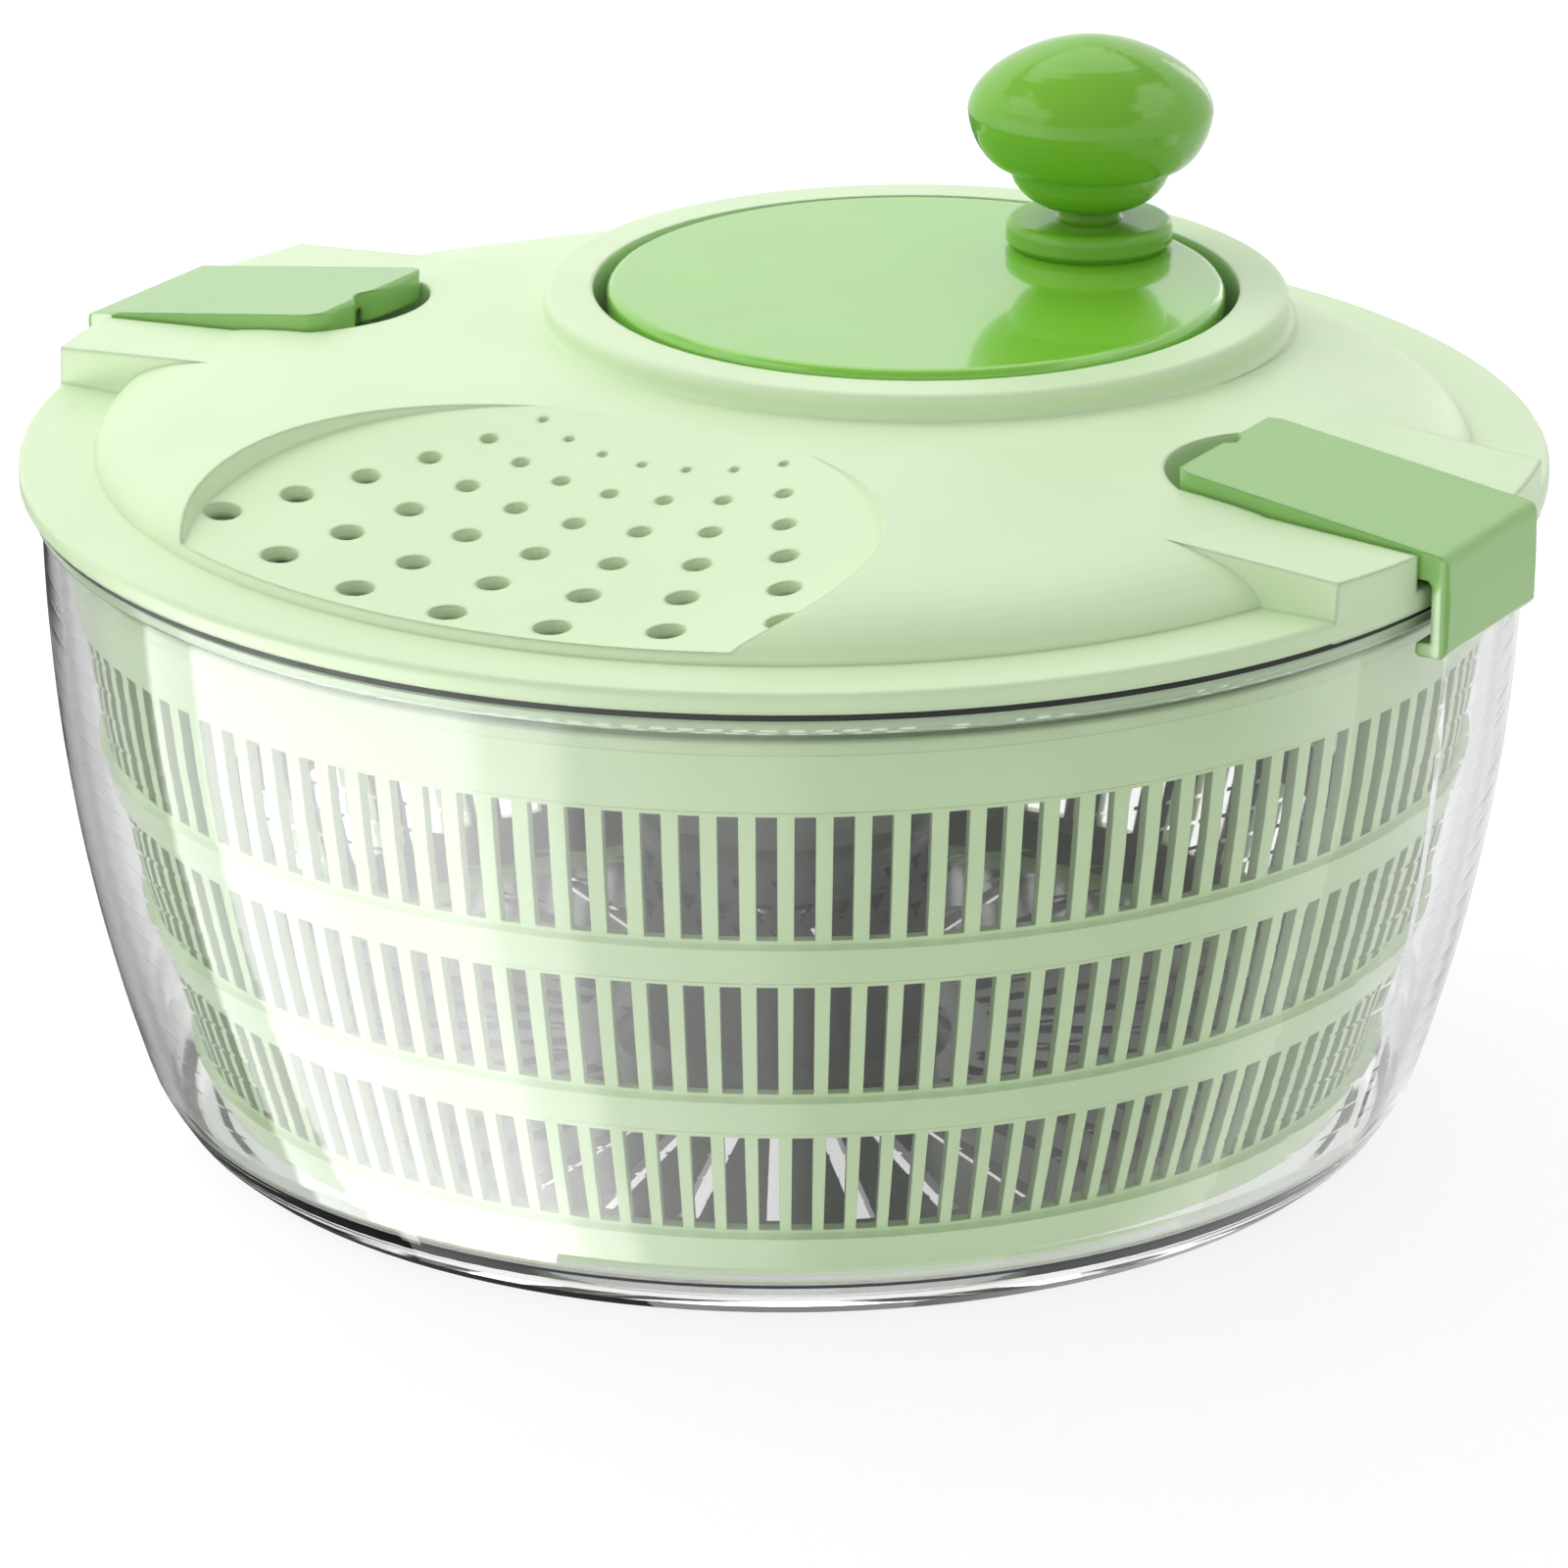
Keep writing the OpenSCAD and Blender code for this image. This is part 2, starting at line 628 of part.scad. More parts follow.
// Space a clip swings in
module clip_pocket() {
    intersection() {
        translate([recess_x, 0, pocket_z]) linear_extrude(through) pocket_plan(0);
        translate([0, -pocket_half, pocket_z]) cube([lid_r, 2 * pocket_half, through]);
    }
    translate([crown_r - 6, -pocket_half, lid_z]) cube([through, 2 * pocket_half, through]);
}

// Floor and walls of the pocket under a clip
module pocket_tray()
    intersection() {
        translate([recess_x, 0, pocket_z - shell_t]) linear_extrude(through) pocket_plan(shell_t);
        translate([0, -pocket_half - shell_t, edge_z])
            cube([crown_r, 2 * (pocket_half + shell_t), through]);
        crown_solid(0, crown_r);
    }

// The pocket's walls and the shoulders on both sides of the lid
module both_sides() {
    children();
    rotate(180) children();
}

module lid() color(pale_green) {
    difference() {
        union() {
            difference() {
                union() {
                    crown_solid(0, crown_r);
                    collar_solid();
                    both_sides() clip_shoulders();
                }
                difference() {
                    union() {
                        crown_solid(shell_t, crown_r - shell_t);
                        collar_hollow();
                    }
                    // the shell under the strainer dish
                    dish_space(shell_t);
                    both_sides() pocket_tray();
                    at_crank() translate([0, 0, well_under_z])
                        cylinder(r = well_r + shell_t, h = through);
                }
            }
            flange_ring();
            translate([0, 0, shaft_boss_z]) cylinder(r = shaft_boss_r, h = well_floor_z - shaft_boss_z);
        }
        at_crank() translate([0, 0, well_floor_z]) difference() {
            cylinder(r = well_r, h = through);
            cylinder(r = crank_post_r, h = crank_post_top - well_floor_z);
        }
        at_crank() translate([0, 0, well_under_z - 1])
            cylinder(r = sleeve_r + seat_fit, h = crank_post_top - well_under_z + 2);
        translate([0, 0, shaft_boss_z - 1]) cylinder(r = bush_body_r + seat_fit, h = through);
        dish_space(0);
        both_sides() clip_pocket();
        both_sides() translate([pin_x, pin_half + seat_fit, pin_z]) rotate([90, 0, 0])
            cylinder(r = pin_r + seat_fit, h = 2 * (pin_half + seat_fit));
        for (i = [0:ray_count - 1])
            for (k = [0:ring_count - 1])
                rotate((i - (ray_count - 1) / 2) * ray_step)
                    translate([0, hole_in + ring_out(ring_count - 1) - ring_out(k) - crown_r, edge_z - 2])
                        cylinder(d = hole_small + (hole_large - hole_small)
                            * pow(k / (ring_count - 1), 0.8), h = through);
    }
}

module seal_ring() color(dark_rubber)
    tube(seal_z, bowl_inner(bowl_h) + 0.2, lid_r - 1.1, seal_t);

module shaft_bush() color(acetal)
    difference() {
        union() {
            translate([0, 0, shaft_boss_z]) cylinder(r = bush_body_r, h = well_floor_z - shaft_boss_z);
            translate([0, 0, well_floor_z]) cylinder(r = bush_flange_r, h = bush_flange_t);
        }
        translate([0, 0, shaft_boss_z - 1]) cylinder(r = shaft_r + run_fit, h = through);
    }

module crank_bush() color(acetal)
    at_crank() difference() {
        union() {
            translate([0, 0, well_under_z]) cylinder(r = sleeve_r, h = crank_post_top - well_under_z);
            translate([0, 0, crank_post_top]) cylinder(r = crank_post_r, h = bush_flange_t);
        }
        translate([0, 0, well_under_z - 1]) cylinder(r = spindle_r + run_fit, h = through);
    }

module clip_pins() color(steel)
    both_sides() translate([pin_x, pin_half, pin_z]) rotate([90, 0, 0])
        cylinder(r = pin_r, h = 2 * pin_half);

// ---- clips ----

// Side outline of the clip: sloping top, leg outside the flange and hook under the rim
module clip_side()
    polygon(concat(
        [[clip_inner, clip_low_in], [clip_inner, clip_top_in - 0.6], [clip_inner + 1, clip_top_in]],
        arc(leg_out - 2, clip_top_out - 1.7, 2, 80, 5, 4),
        [[leg_out + 0.2, clip_low - 4], [leg_out, hook_z + 1],
            [leg_out - 0.8, hook_z], [leg_in - hook_in + 0.5, hook_z],
            [leg_in - hook_in, hook_z + 0.6], [leg_in - hook_in + 0.2, hook_z + hook_t],
            [leg_in, hook_z + hook_t + 0.3], [leg_in, clip_low - 0.8],
            [leg_in - 0.8, clip_low], [pin_x - 2, clip_low]]));

// Plan outline: straight sides and an inner end of two lobes with a notch between them
module clip_plan()
    polygon(concat(
        arc(clip_inner + 4, -clip_half + 4, 4, -90, -165, 5),
        [[clip_inner - 0.2, -8], [clip_inner + 0.2, -4], [clip_inner + 1, -0.6],
            [clip_inner + 2.5, 1.4], [clip_inner + 2.2, 3.6], [clip_inner, 6.5]],
        arc(clip_inner + 4, clip_half - 4, 4, 165, 90, 5),
        arc(leg_out - 1.5, clip_half - 2, 2, 80, 10, 3),
        arc(leg_out - 1.5, -clip_half + 2, 2, -10, -80, 3)));

module clip() {
    difference() {
        intersection() {
            translate([0, through / 2, 0]) rotate([90, 0, 0]) linear_extrude(through) clip_side();
            translate([0, 0, hook_z - 1]) linear_extrude(through) clip_plan();
        }
        // hollow under the top skin, between the ribs at the sides
        translate([0, clip_half - clip_rib, 0]) rotate([90, 0, 0]) linear_extrude(2 * (clip_half - clip_rib))
            polygon([[hollow_in, hook_z], [hollow_in, hollow_top],
                [hollow_out, hollow_top - (hollow_out - hollow_in) * clip_top_slope],
                [hollow_out, hook_z]]);
        translate([pin_x, through / 2, pin_z]) rotate([90, 0, 0])
            cylinder(r = pin_r + run_fit, h = through);
    }
}

module clip_right() color(mid_green) clip();
module clip_left() color(mid_green) rotate(180) clip();

// ---- crank, drive gear and knob base ----

module crank_disc() color(leaf_green) {
    at_crank() {
        difference() {
            rotate_extrude() polygon(concat(
                [[0, crank_end_z], [spindle_r, crank_end_z], [spindle_r, disc_z - 2],
                    [spindle_r + 2, disc_z], [disc_r - disc_skirt_t, disc_z],
                    [disc_r - disc_skirt_t, disc_z - disc_skirt_h], [disc_r, disc_z - disc_skirt_h]],
                arc(disc_r - disc_round, disc_top - disc_round, disc_round, 0, 90, 6),
                [[0, disc_top]]));
            translate([0, 0, crank_end_z - 1]) cylinder(r = crank_screw_r + seat_fit, h = 12);
            rotate(knob_angle) translate([knob_throw, 0, disc_z - 1])
                cylinder(r = axle_r + seat_fit, h = disc_t + 2);
        }
        // posts for the gear's screws
        for (i = [0:2])
            rotate(knob_angle + 60 + 120 * i) translate([gear_boss_at, 0, gear_top])
                difference() {
                    cylinder(r = gear_boss_r, h = disc_z - gear_top + 0.4);
                    translate([0, 0, -1]) cylinder(r = gear_screw_r + seat_fit, h = disc_z - gear_top);
                }
    }
}

module drive_gear() color(acetal)
    at_crank() translate([0, 0, gear_z]) difference() {
        linear_extrude(gear_t) spur_outline(gear_teeth, gear_module, backlash);
        translate([0, 0, -1]) cylinder(r = gear_bore_r, h = gear_t + 2);
        // thinner web between hub and rim
        translate([0, 0, gear_t - 2]) difference() {
            cylinder(r = gear_module * gear_teeth / 2 - 5, h = 3);
            for (i = [0:2])
                rotate(knob_angle + 60 + 120 * i) translate([gear_boss_at, 0, -1])
                    cylinder(r = gear_boss_r + 1, h = 5);
            translate([0, 0, -1]) cylinder(r = gear_bore_r + 2.4, h = 5);
        }
        for (i = [0:2]) {
            rotate(knob_angle + 60 + 120 * i) translate([gear_boss_at, 0, -1]) {
                cylinder(r = gear_screw_r + seat_fit, h = gear_t + 2);
                cylinder(r = gear_head_r + 0.3, h = gear_head_t + 1.2);
            }
            rotate(knob_angle + 120 * i) translate([gear_boss_at, 0, -1]) cylinder(r = 4.5, h = gear_t + 2);
        }
    }

module gear_screws() color(steel)
    at_crank() for (i = [0:2])
        rotate(knob_angle + 60 + 120 * i) translate([gear_boss_at, 0, 0])
            screw_up(gear_z + gear_head_t + 0.2, gear_head_r, gear_head_t, gear_screw_r,
                gear_t - gear_head_t + disc_z - gear_top - 2);

module crank_washer() color(steel)
    at_crank() tube(crank_end_z - crank_washer_t - 0.9, crank_screw_r + seat_fit, crank_washer_r,
        crank_washer_t);

module crank_screw() color(steel)
    at_crank() screw_up(crank_end_z - crank_washer_t - 0.9, crank_head_r, crank_head_t, crank_screw_r, 9);

module knob_base() color(leaf_green)
    at_knob() difference() {
        rotate_extrude() polygon(concat(
            [[0, disc_top], [puck_r - 1, disc_top], [puck_r, disc_top + 1.2]],
            arc(puck_r - 1.4, puck_top - 1.4, 1.4, 0, 90, 4),
            [[neck_r + 0.6, puck_top], [neck_r, puck_top + 0.6], [neck_r, neck_top], [0, neck_top]]));
        translate([0, 0, disc_top - 1]) cylinder(r = axle_r + seat_fit, h = 20);
    }

module knob_spindle() color(steel)
    at_knob() difference() {
        union() {
            translate([0, 0, disc_z - axle_head_t]) cylinder(r = axle_head_r, h = axle_head_t);
            translate([0, 0, disc_z]) cylinder(r = axle_r, h = tube_top + move_gap - disc_z);
        }
        translate([0, 0, tube_top - 8]) cylinder(r = knob_screw_r + seat_fit, h = 12);
    }

module knob_washer() color(steel)
    at_knob() tube(tube_top + move_gap, knob_screw_r + seat_fit, knob_washer_r, knob_washer_t);

module knob_screw() color(steel)
    at_knob() translate([0, 0, 2 * (tube_top + move_gap + knob_washer_t)]) mirror([0, 0, 1])
        screw_up(tube_top + move_gap + knob_washer_t, knob_head_r, knob_head_t, knob_screw_r, 7);

// ---- knob ----

module knob_cup() color(leaf_green)
    at_knob() difference() {
        rotate_extrude() polygon(concat(
            [[0, cup_z], [neck_r + 0.2, cup_z]],
            [for (i = [1:8]) let (a = 90 * i / 8)
                [neck_r + 0.2 + (cup_r - neck_r - 0.2) * pow(sin(a), 1.2), cup_z + cup_h * (1 - cos(a))]],
            [[cup_r - grip_skin, seam_z], [cup_r - grip_skin, seam_z + 2], [cup_r - 4.6, seam_z + 2],
                [cup_r - 4.6, seam_z - 1], [tube_r, seam_z - 3], [tube_r, tube_top], [0, tube_top]]));
        translate([0, 0, cup_z - 1]) cylinder(r = axle_r + run_fit, h = 40);
    }

// Point on the grip's upper half, d inside its face, at angle a from the belly
function grip_face(d, a) =
    [(grip_r - d) * pow(cos(a), 1.2), grip_mid + (grip_top - grip_mid - d) * pow(sin(a), 1.1)];

module knob_grip() color(leaf_green)
    at_knob() rotate_extrude() polygon(concat(
        [[cup_r - grip_skin + 0.1, seam_z], [cup_r + 0.4, seam_z]],
        // rounded foot that opens out to the belly
        [for (i = [1:10]) let (rise = pow(i / 10, 2))
            [cup_r + 0.4 + (grip_r - cup_r - 0.4) * sqrt(1 - pow(1 - rise, 1.6)),
                seam_z + grip_belly * rise]],
        [for (i = [1:16]) grip_face(0, 90 * i / 16)],
        [for (i = [14:-1:0]) grip_face(grip_skin, 90 * i / 14)],
        [[cup_r - grip_skin + 2, seam_z + 2.6], [cup_r - grip_skin + 0.1, seam_z + 2.2]]));

// ---- drive train under the lid ----

module drive_shaft() color(steel)
    difference() {
        translate([0, 0, shaft_end]) cylinder(r = shaft_r, h = shaft_top - shaft_end);
        translate([0, 0, shaft_end - 1]) cylinder(r = plate_screw_r + seat_fit, h = 9);
    }

module pinion() color(acetal)
    translate([0, 0, gear_z]) difference() {
        linear_extrude(gear_t) spur_outline(pinion_teeth, gear_module, backlash);
        translate([0, 0, -1]) cylinder(r = shaft_r + seat_fit, h = gear_t + 2);
    }

module drive_plate() color(acetal) {
    difference() {
        union() {
            translate([0, 0, hub_z]) cylinder(r = hub_r - 5, h = hub_top - hub_z);
            translate([0, 0, arm_z]) cylinder(r = hub_r, h = arm_t);
            for (i = [0:arm_count - 1])
                rotate((i + 0.5) * 360 / arm_count) {
                    difference() {
                        translate([0, -arm_w / 2, arm_z]) cube([prong_out - 0.6, arm_w, arm_t]);
                        // lightening slot along the arm
                        translate([hub_r + 4, -arm_w / 2 + 4, arm_z - 1])
                            cube([prong_in - hub_r - 12, arm_w - 8, arm_t + 2]);
                    }
                    for (s = [-1, 1])
                        translate([prong_in, s * (lug_w / 2 + fork_gap + prong_t / 2) - prong_t / 2, prong_z])
                            cube([prong_out - prong_in - 0.6, prong_t, arm_z - prong_z + 0.5]);
                }
        }
        translate([0, 0, hub_z - 1]) cylinder(r = shaft_r + seat_fit, h = hub_top - hub_z + 2);
    }
}

module plate_washer() color(steel)
    tube(hub_z - plate_washer_t, plate_screw_r + seat_fit, plate_washer_r, plate_washer_t);

module plate_screw() color(steel)
    screw_up(hub_z - plate_washer_t, plate_head_r, plate_head_t, plate_screw_r, 7);

bowl();
pivot_bush();
basket();
lid();
seal_ring();
shaft_bush();
crank_bush();
clip_pins();
clip_right();
clip_left();
crank_disc();
drive_gear();
gear_screws();
crank_washer();
crank_screw();
knob_base();
knob_spindle();
knob_washer();
knob_screw();
knob_cup();
knob_grip();
drive_shaft();
pinion();
drive_plate();
plate_washer();
plate_screw();
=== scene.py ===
"""Dresses the salad spinner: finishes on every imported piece, the studio and the camera."""

from __future__ import annotations

import logging
import math
from dataclasses import dataclass
from enum import Enum
from typing import Any, Iterable, Sequence, Union

import bmesh
import bpy
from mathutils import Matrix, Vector


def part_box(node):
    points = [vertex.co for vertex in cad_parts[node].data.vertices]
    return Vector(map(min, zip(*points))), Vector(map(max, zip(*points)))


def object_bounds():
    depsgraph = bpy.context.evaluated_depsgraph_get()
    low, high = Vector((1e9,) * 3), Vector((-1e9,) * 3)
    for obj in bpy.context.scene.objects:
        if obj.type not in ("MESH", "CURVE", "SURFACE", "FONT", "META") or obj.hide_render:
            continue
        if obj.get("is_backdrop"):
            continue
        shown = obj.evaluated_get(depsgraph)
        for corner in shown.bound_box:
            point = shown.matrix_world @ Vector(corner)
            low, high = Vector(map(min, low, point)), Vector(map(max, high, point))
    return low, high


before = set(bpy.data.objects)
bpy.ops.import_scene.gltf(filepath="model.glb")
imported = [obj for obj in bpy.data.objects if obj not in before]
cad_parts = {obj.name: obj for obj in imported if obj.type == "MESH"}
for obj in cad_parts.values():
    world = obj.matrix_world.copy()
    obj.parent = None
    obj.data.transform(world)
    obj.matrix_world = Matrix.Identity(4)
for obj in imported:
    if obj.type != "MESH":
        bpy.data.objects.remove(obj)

log = logging.getLogger("salad_spinner")

Span = tuple[float, float]
Triple = tuple[float, float, float]
Colour = Triple
Number = Union[int, float]

PLASTIC_IOR = 1.5
CLEAR_IOR = 1.49
WHITE: Colour = (1.0, 1.0, 1.0)

# Where the masks start and end: the cosine between a face's normal and the rounded one, or the way out from
# the axis; how far past the core, as a factor; and the share of a point's surroundings that is open.
EDGE_COSINES: Span = (0.99, 0.80)
# INWARD_COSINES, CORE_BLUR and CLOSED_TO_OPEN mark where a vessel's inside gets painted shade.
INWARD_COSINES: Span = (0.25, -0.45)
CORE_BLUR = 1.05
CLOSED_TO_OPEN: Span = (0.03, 0.20)


class Polish(Enum):
    """How a moulding's tool face was finished: roughness, then grain height and grain size in metres."""

    MIRROR = (0.10, 0.000006, 0.0030)
    GLOSS = (0.20, 0.000010, 0.0022)
    SATIN = (0.34, 0.000014, 0.0012)


class Turning(Enum):
    """How a metal piece was made, as the spacing of its tool marks in metres."""

    TURNED = 0.00035
    PRESSED = 0.0012


# ---- shader wiring ----


class Wire:
    """A socket that takes part in Python arithmetic; every operation adds one Math node."""

    def __init__(self, tree: "Recipe", socket: bpy.types.NodeSocket | None) -> None:
        """Keeps the socket and the recipe it belongs to."""
        self.tree = tree
        self.socket = socket

    def _math(self, operation: str, *values: "Value") -> "Wire":
        """Adds a Math node.

        Args:
            operation: Name of the operation.
            values: Its operands in order.

        Returns:
            The node's result.
        """
        return self.tree.add("ShaderNodeMath", {"operation": operation}, values)

    def __add__(self, other: "Value") -> "Wire":
        """Sum of two values."""
        return self._math("ADD", self, other)

    def __radd__(self, other: "Value") -> "Wire":
        """Sum, number first."""
        return self._math("ADD", other, self)

    def __sub__(self, other: "Value") -> "Wire":
        """Difference of two values."""
        return self._math("SUBTRACT", self, other)

    def __rsub__(self, other: "Value") -> "Wire":
        """Difference, number first."""
        return self._math("SUBTRACT", other, self)

    def __mul__(self, other: "Value") -> "Wire":
        """Product of two values."""
        return self._math("MULTIPLY", self, other)

    def __rmul__(self, other: "Value") -> "Wire":
        """Product, number first."""
        return self._math("MULTIPLY", other, self)

    def larger(self, other: "Value") -> "Wire":
        """The larger of two values."""
        return self._math("MAXIMUM", self, other)

    def ramp(self, low: Number, high: Number, start: Number = 0.0, end: Number = 1.0) -> "Wire":
        """Maps low..high to start..end with a soft step.

        Args:
            low: Value that gives start.
            high: Value that gives end.
            start: Result at and before low.
            end: Result at and past high.

        Returns:
            The mapped value.
        """
        return self.tree.add(
            "ShaderNodeMapRange",
            {"interpolation_type": "SMOOTHSTEP"},
            {"Value": self, "From Min": low, "From Max": high, "To Min": start, "To Max": end},
        )


Value = Union[Wire, int, float]


class Recipe:
    """A node tree that is emptied and wired up again."""

    def __init__(self, owner: bpy.types.Material | bpy.types.World, ending: str) -> None:
        """Empties the owner's tree.

        Args:
            owner: The material or world.
            ending: Type of the node its surface ends in.
        """
        owner.use_nodes = True
        self.owner = owner
        self.ending = ending
        self.nodes = owner.node_tree.nodes
        self.links = owner.node_tree.links
        self.nodes.clear()

    @classmethod
    def material(cls, name: str) -> "Recipe":
        """Starts a new material."""
        return cls(bpy.data.materials.new(name), "ShaderNodeOutputMaterial")

    def add(
        self,
        kind: str,
        settings: dict[str, Any] | None = None,
        inputs: dict[str, Any] | Sequence[Any] = (),
        result: str | int = 0,
    ) -> Wire:
        """Adds any node.

        Args:
            kind: The node's type.
            settings: Properties that are set before the sockets.
            inputs: Values or wires by socket name, or in socket order.
            result: Name or index of the output that is wanted.

        Returns:
            That output, wrapped; an ending has none.
        """
        node = self.nodes.new(kind)
        for key, value in (settings or {}).items():
            setattr(node, key, value)
        pairs = inputs.items() if isinstance(inputs, dict) else enumerate(inputs)
        for key, value in pairs:
            self._feed(self._socket(node.inputs, key), value)
        return Wire(self, self._socket(node.outputs, result) if node.outputs else None)

    @staticmethod
    def _socket(sockets: Any, key: str | int) -> bpy.types.NodeSocket:
        """Finds a socket that is in use.

        Args:
            sockets: A node's inputs or outputs.
            key: Its name or index.

        Returns:
            The first enabled socket of that name, or the one at that index.
        """
        if isinstance(key, int):
            return sockets[key]
        named = [socket for socket in sockets if socket.name == key]
        return next((socket for socket in named if socket.enabled), named[0])

    def _feed(self, socket: bpy.types.NodeSocket, value: Any) -> None:
        """Links or sets one socket.

        Args:
            socket: The socket to feed.
            value: A wire, a number or a tuple.
        """
        if isinstance(value, Wire):
            self.links.new(value.socket, socket)
        elif isinstance(value, tuple) and len(value) == 3 and len(socket.default_value) == 4:
            socket.default_value = (*value, 1.0)
        else:
            socket.default_value = value

    def vector(self, operation: str, *values: Any, result: str | int = 0) -> Wire:
        """Adds a Vector Math node.

        Args:
            operation: Name of the operation.
            values: Its operands in order.
            result: Name or index of the output that is wanted.

        Returns:
            That output.
        """
        return self.add("ShaderNodeVectorMath", {"operation": operation}, values, result)

    def place(self) -> Wire:
        """Position on the piece, in metres, which stays with it as it moves."""
        return self.add("ShaderNodeTexCoord", result="Object")

    def noise(self, size: Number, detail: Number = 2.0, stretch: Triple = (1.0, 1.0, 1.0)) -> Wire:
        """Noise whose blobs are about size metres across.

        Args:
            size: Width of a blob in metres.
            detail: Octaves.
            stretch: Scale along each axis.

        Returns:
            A value about 0.5.
        """
        at = self.vector("MULTIPLY", self.place(), stretch)
        return self.add("ShaderNodeTexNoise", None, {"Vector": at, "Scale": 1.0 / size, "Detail": detail})

    def blend(self, factor: Value, first: Any, second: Any) -> Wire:
        """Mixes two colours.

        Args:
            factor: Share of the second.
            first: Colour or wire at 0.
            second: Colour or wire at 1.

        Returns:
            The mixed colour.
        """
        inputs = {"Factor": factor, "A": first, "B": second}
        return self.add("ShaderNodeMix", {"data_type": "RGBA"}, inputs, "Result")

    def bump(self, height: Wire, depth: Number, normal: Wire | None = None) -> Wire:
        """Turns a height into a normal.

        Args:
            height: Height from 0 to 1.
            depth: What 1 stands for, in metres.
            normal: Normal to start from.

        Returns:
            The bumped normal.
        """
        inputs: dict[str, Any] = {"Strength": 1.0, "Distance": depth, "Height": height}
        if normal is not None:
            inputs["Normal"] = normal
        return self.add("ShaderNodeBump", None, inputs)

    def soft_edges(self, radius: Number) -> Wire:
        """Normal rounded over the piece's sharp edges, by a radius in metres."""
        return self.add("ShaderNodeBevel", {"samples": 4}, {"Radius": radius})

    def face_normal(self) -> Wire:
        """The surface's own normal."""
        return self.add("ShaderNodeNewGeometry", result="Normal")

    def edge_mask(self, rounded: Wire) -> Wire:
        """How near a sharp edge is, from how far the rounded normal turns away.

        Args:
            rounded: The normal from soft_edges.

        Returns:
            0 on faces, rising to 1 at edges.
        """
        along = self.vector("DOT_PRODUCT", rounded, self.face_normal(), result="Value")
        return along.ramp(*EDGE_COSINES)

    def inside(self, core: Number) -> Wire:
        """Finds the inside of a round vessel about the upright axis.

        Args:
            core: Radius within which every face counts as inside, in metres.

        Returns:
            1 on faces that look towards the axis or stand near it, 0 on the vessel's outside.
        """
        spoke = self.vector("MULTIPLY", self.place(), (1.0, 1.0, 0.0))
        outward = self.vector("NORMALIZE", spoke)
        along = self.vector("DOT_PRODUCT", self.face_normal(), outward, result="Value")
        radius = self.vector("LENGTH", spoke, result="Value")
        return along.ramp(*INWARD_COSINES).larger(1 - radius.ramp(core, core * CORE_BLUR))

    def enclosed(self, reach: Number) -> Wire:
        """How closed in a point is.

        Args:
            reach: How far round the point counts, in metres.

        Returns:
            1 where every way out is blocked, falling to 0 where a fifth of them is open.
        """
        opening = self.add("ShaderNodeAmbientOcclusion", {"samples": 6}, {"Distance": reach}, "AO")
        return 1 - opening.ramp(*CLOSED_TO_OPEN)

    def looked_at(self) -> Wire:
        """1 for rays from the camera, off a shiny face or through clear plastic."""
        camera, glossy, through = (
            self.add("ShaderNodeLightPath", result=f"Is {kind} Ray")
            for kind in ("Camera", "Glossy", "Transmission")
        )
        return camera.larger(glossy).larger(through)

    def principled(self, inputs: dict[str, Any]) -> Wire:
        """Adds the main shader with its inputs."""
        return self.add("ShaderNodeBsdfPrincipled", None, inputs)

    def glow(self, strength: Number) -> Wire:
        """White light of a given strength, 1 being white."""
        return self.add("ShaderNodeEmission", None, {"Color": WHITE, "Strength": strength})

    def mix(self, factor: Value, first: Wire, second: Wire) -> Wire:
        """Mixes two shaders."""
        return self.add("ShaderNodeMixShader", None, (factor, first, second))

    def finish(self, shader: Wire) -> bpy.types.Material | bpy.types.World:
        """Connects the surface.

        Args:
            shader: The finished shader.

        Returns:
            The material or world.
        """
        self.add(self.ending, None, {"Surface": shader})
        return self.owner


def shade(colour: Colour, by: float) -> Colour:
    """Scales a colour.

    Args:
        colour: The colour.
        by: The factor.

    Returns:
        The scaled colour, at most 1 a channel.
    """
    red, green, blue = (min(1.0, channel * by) for channel in colour)
    return red, green, blue


# ---- finishes ----


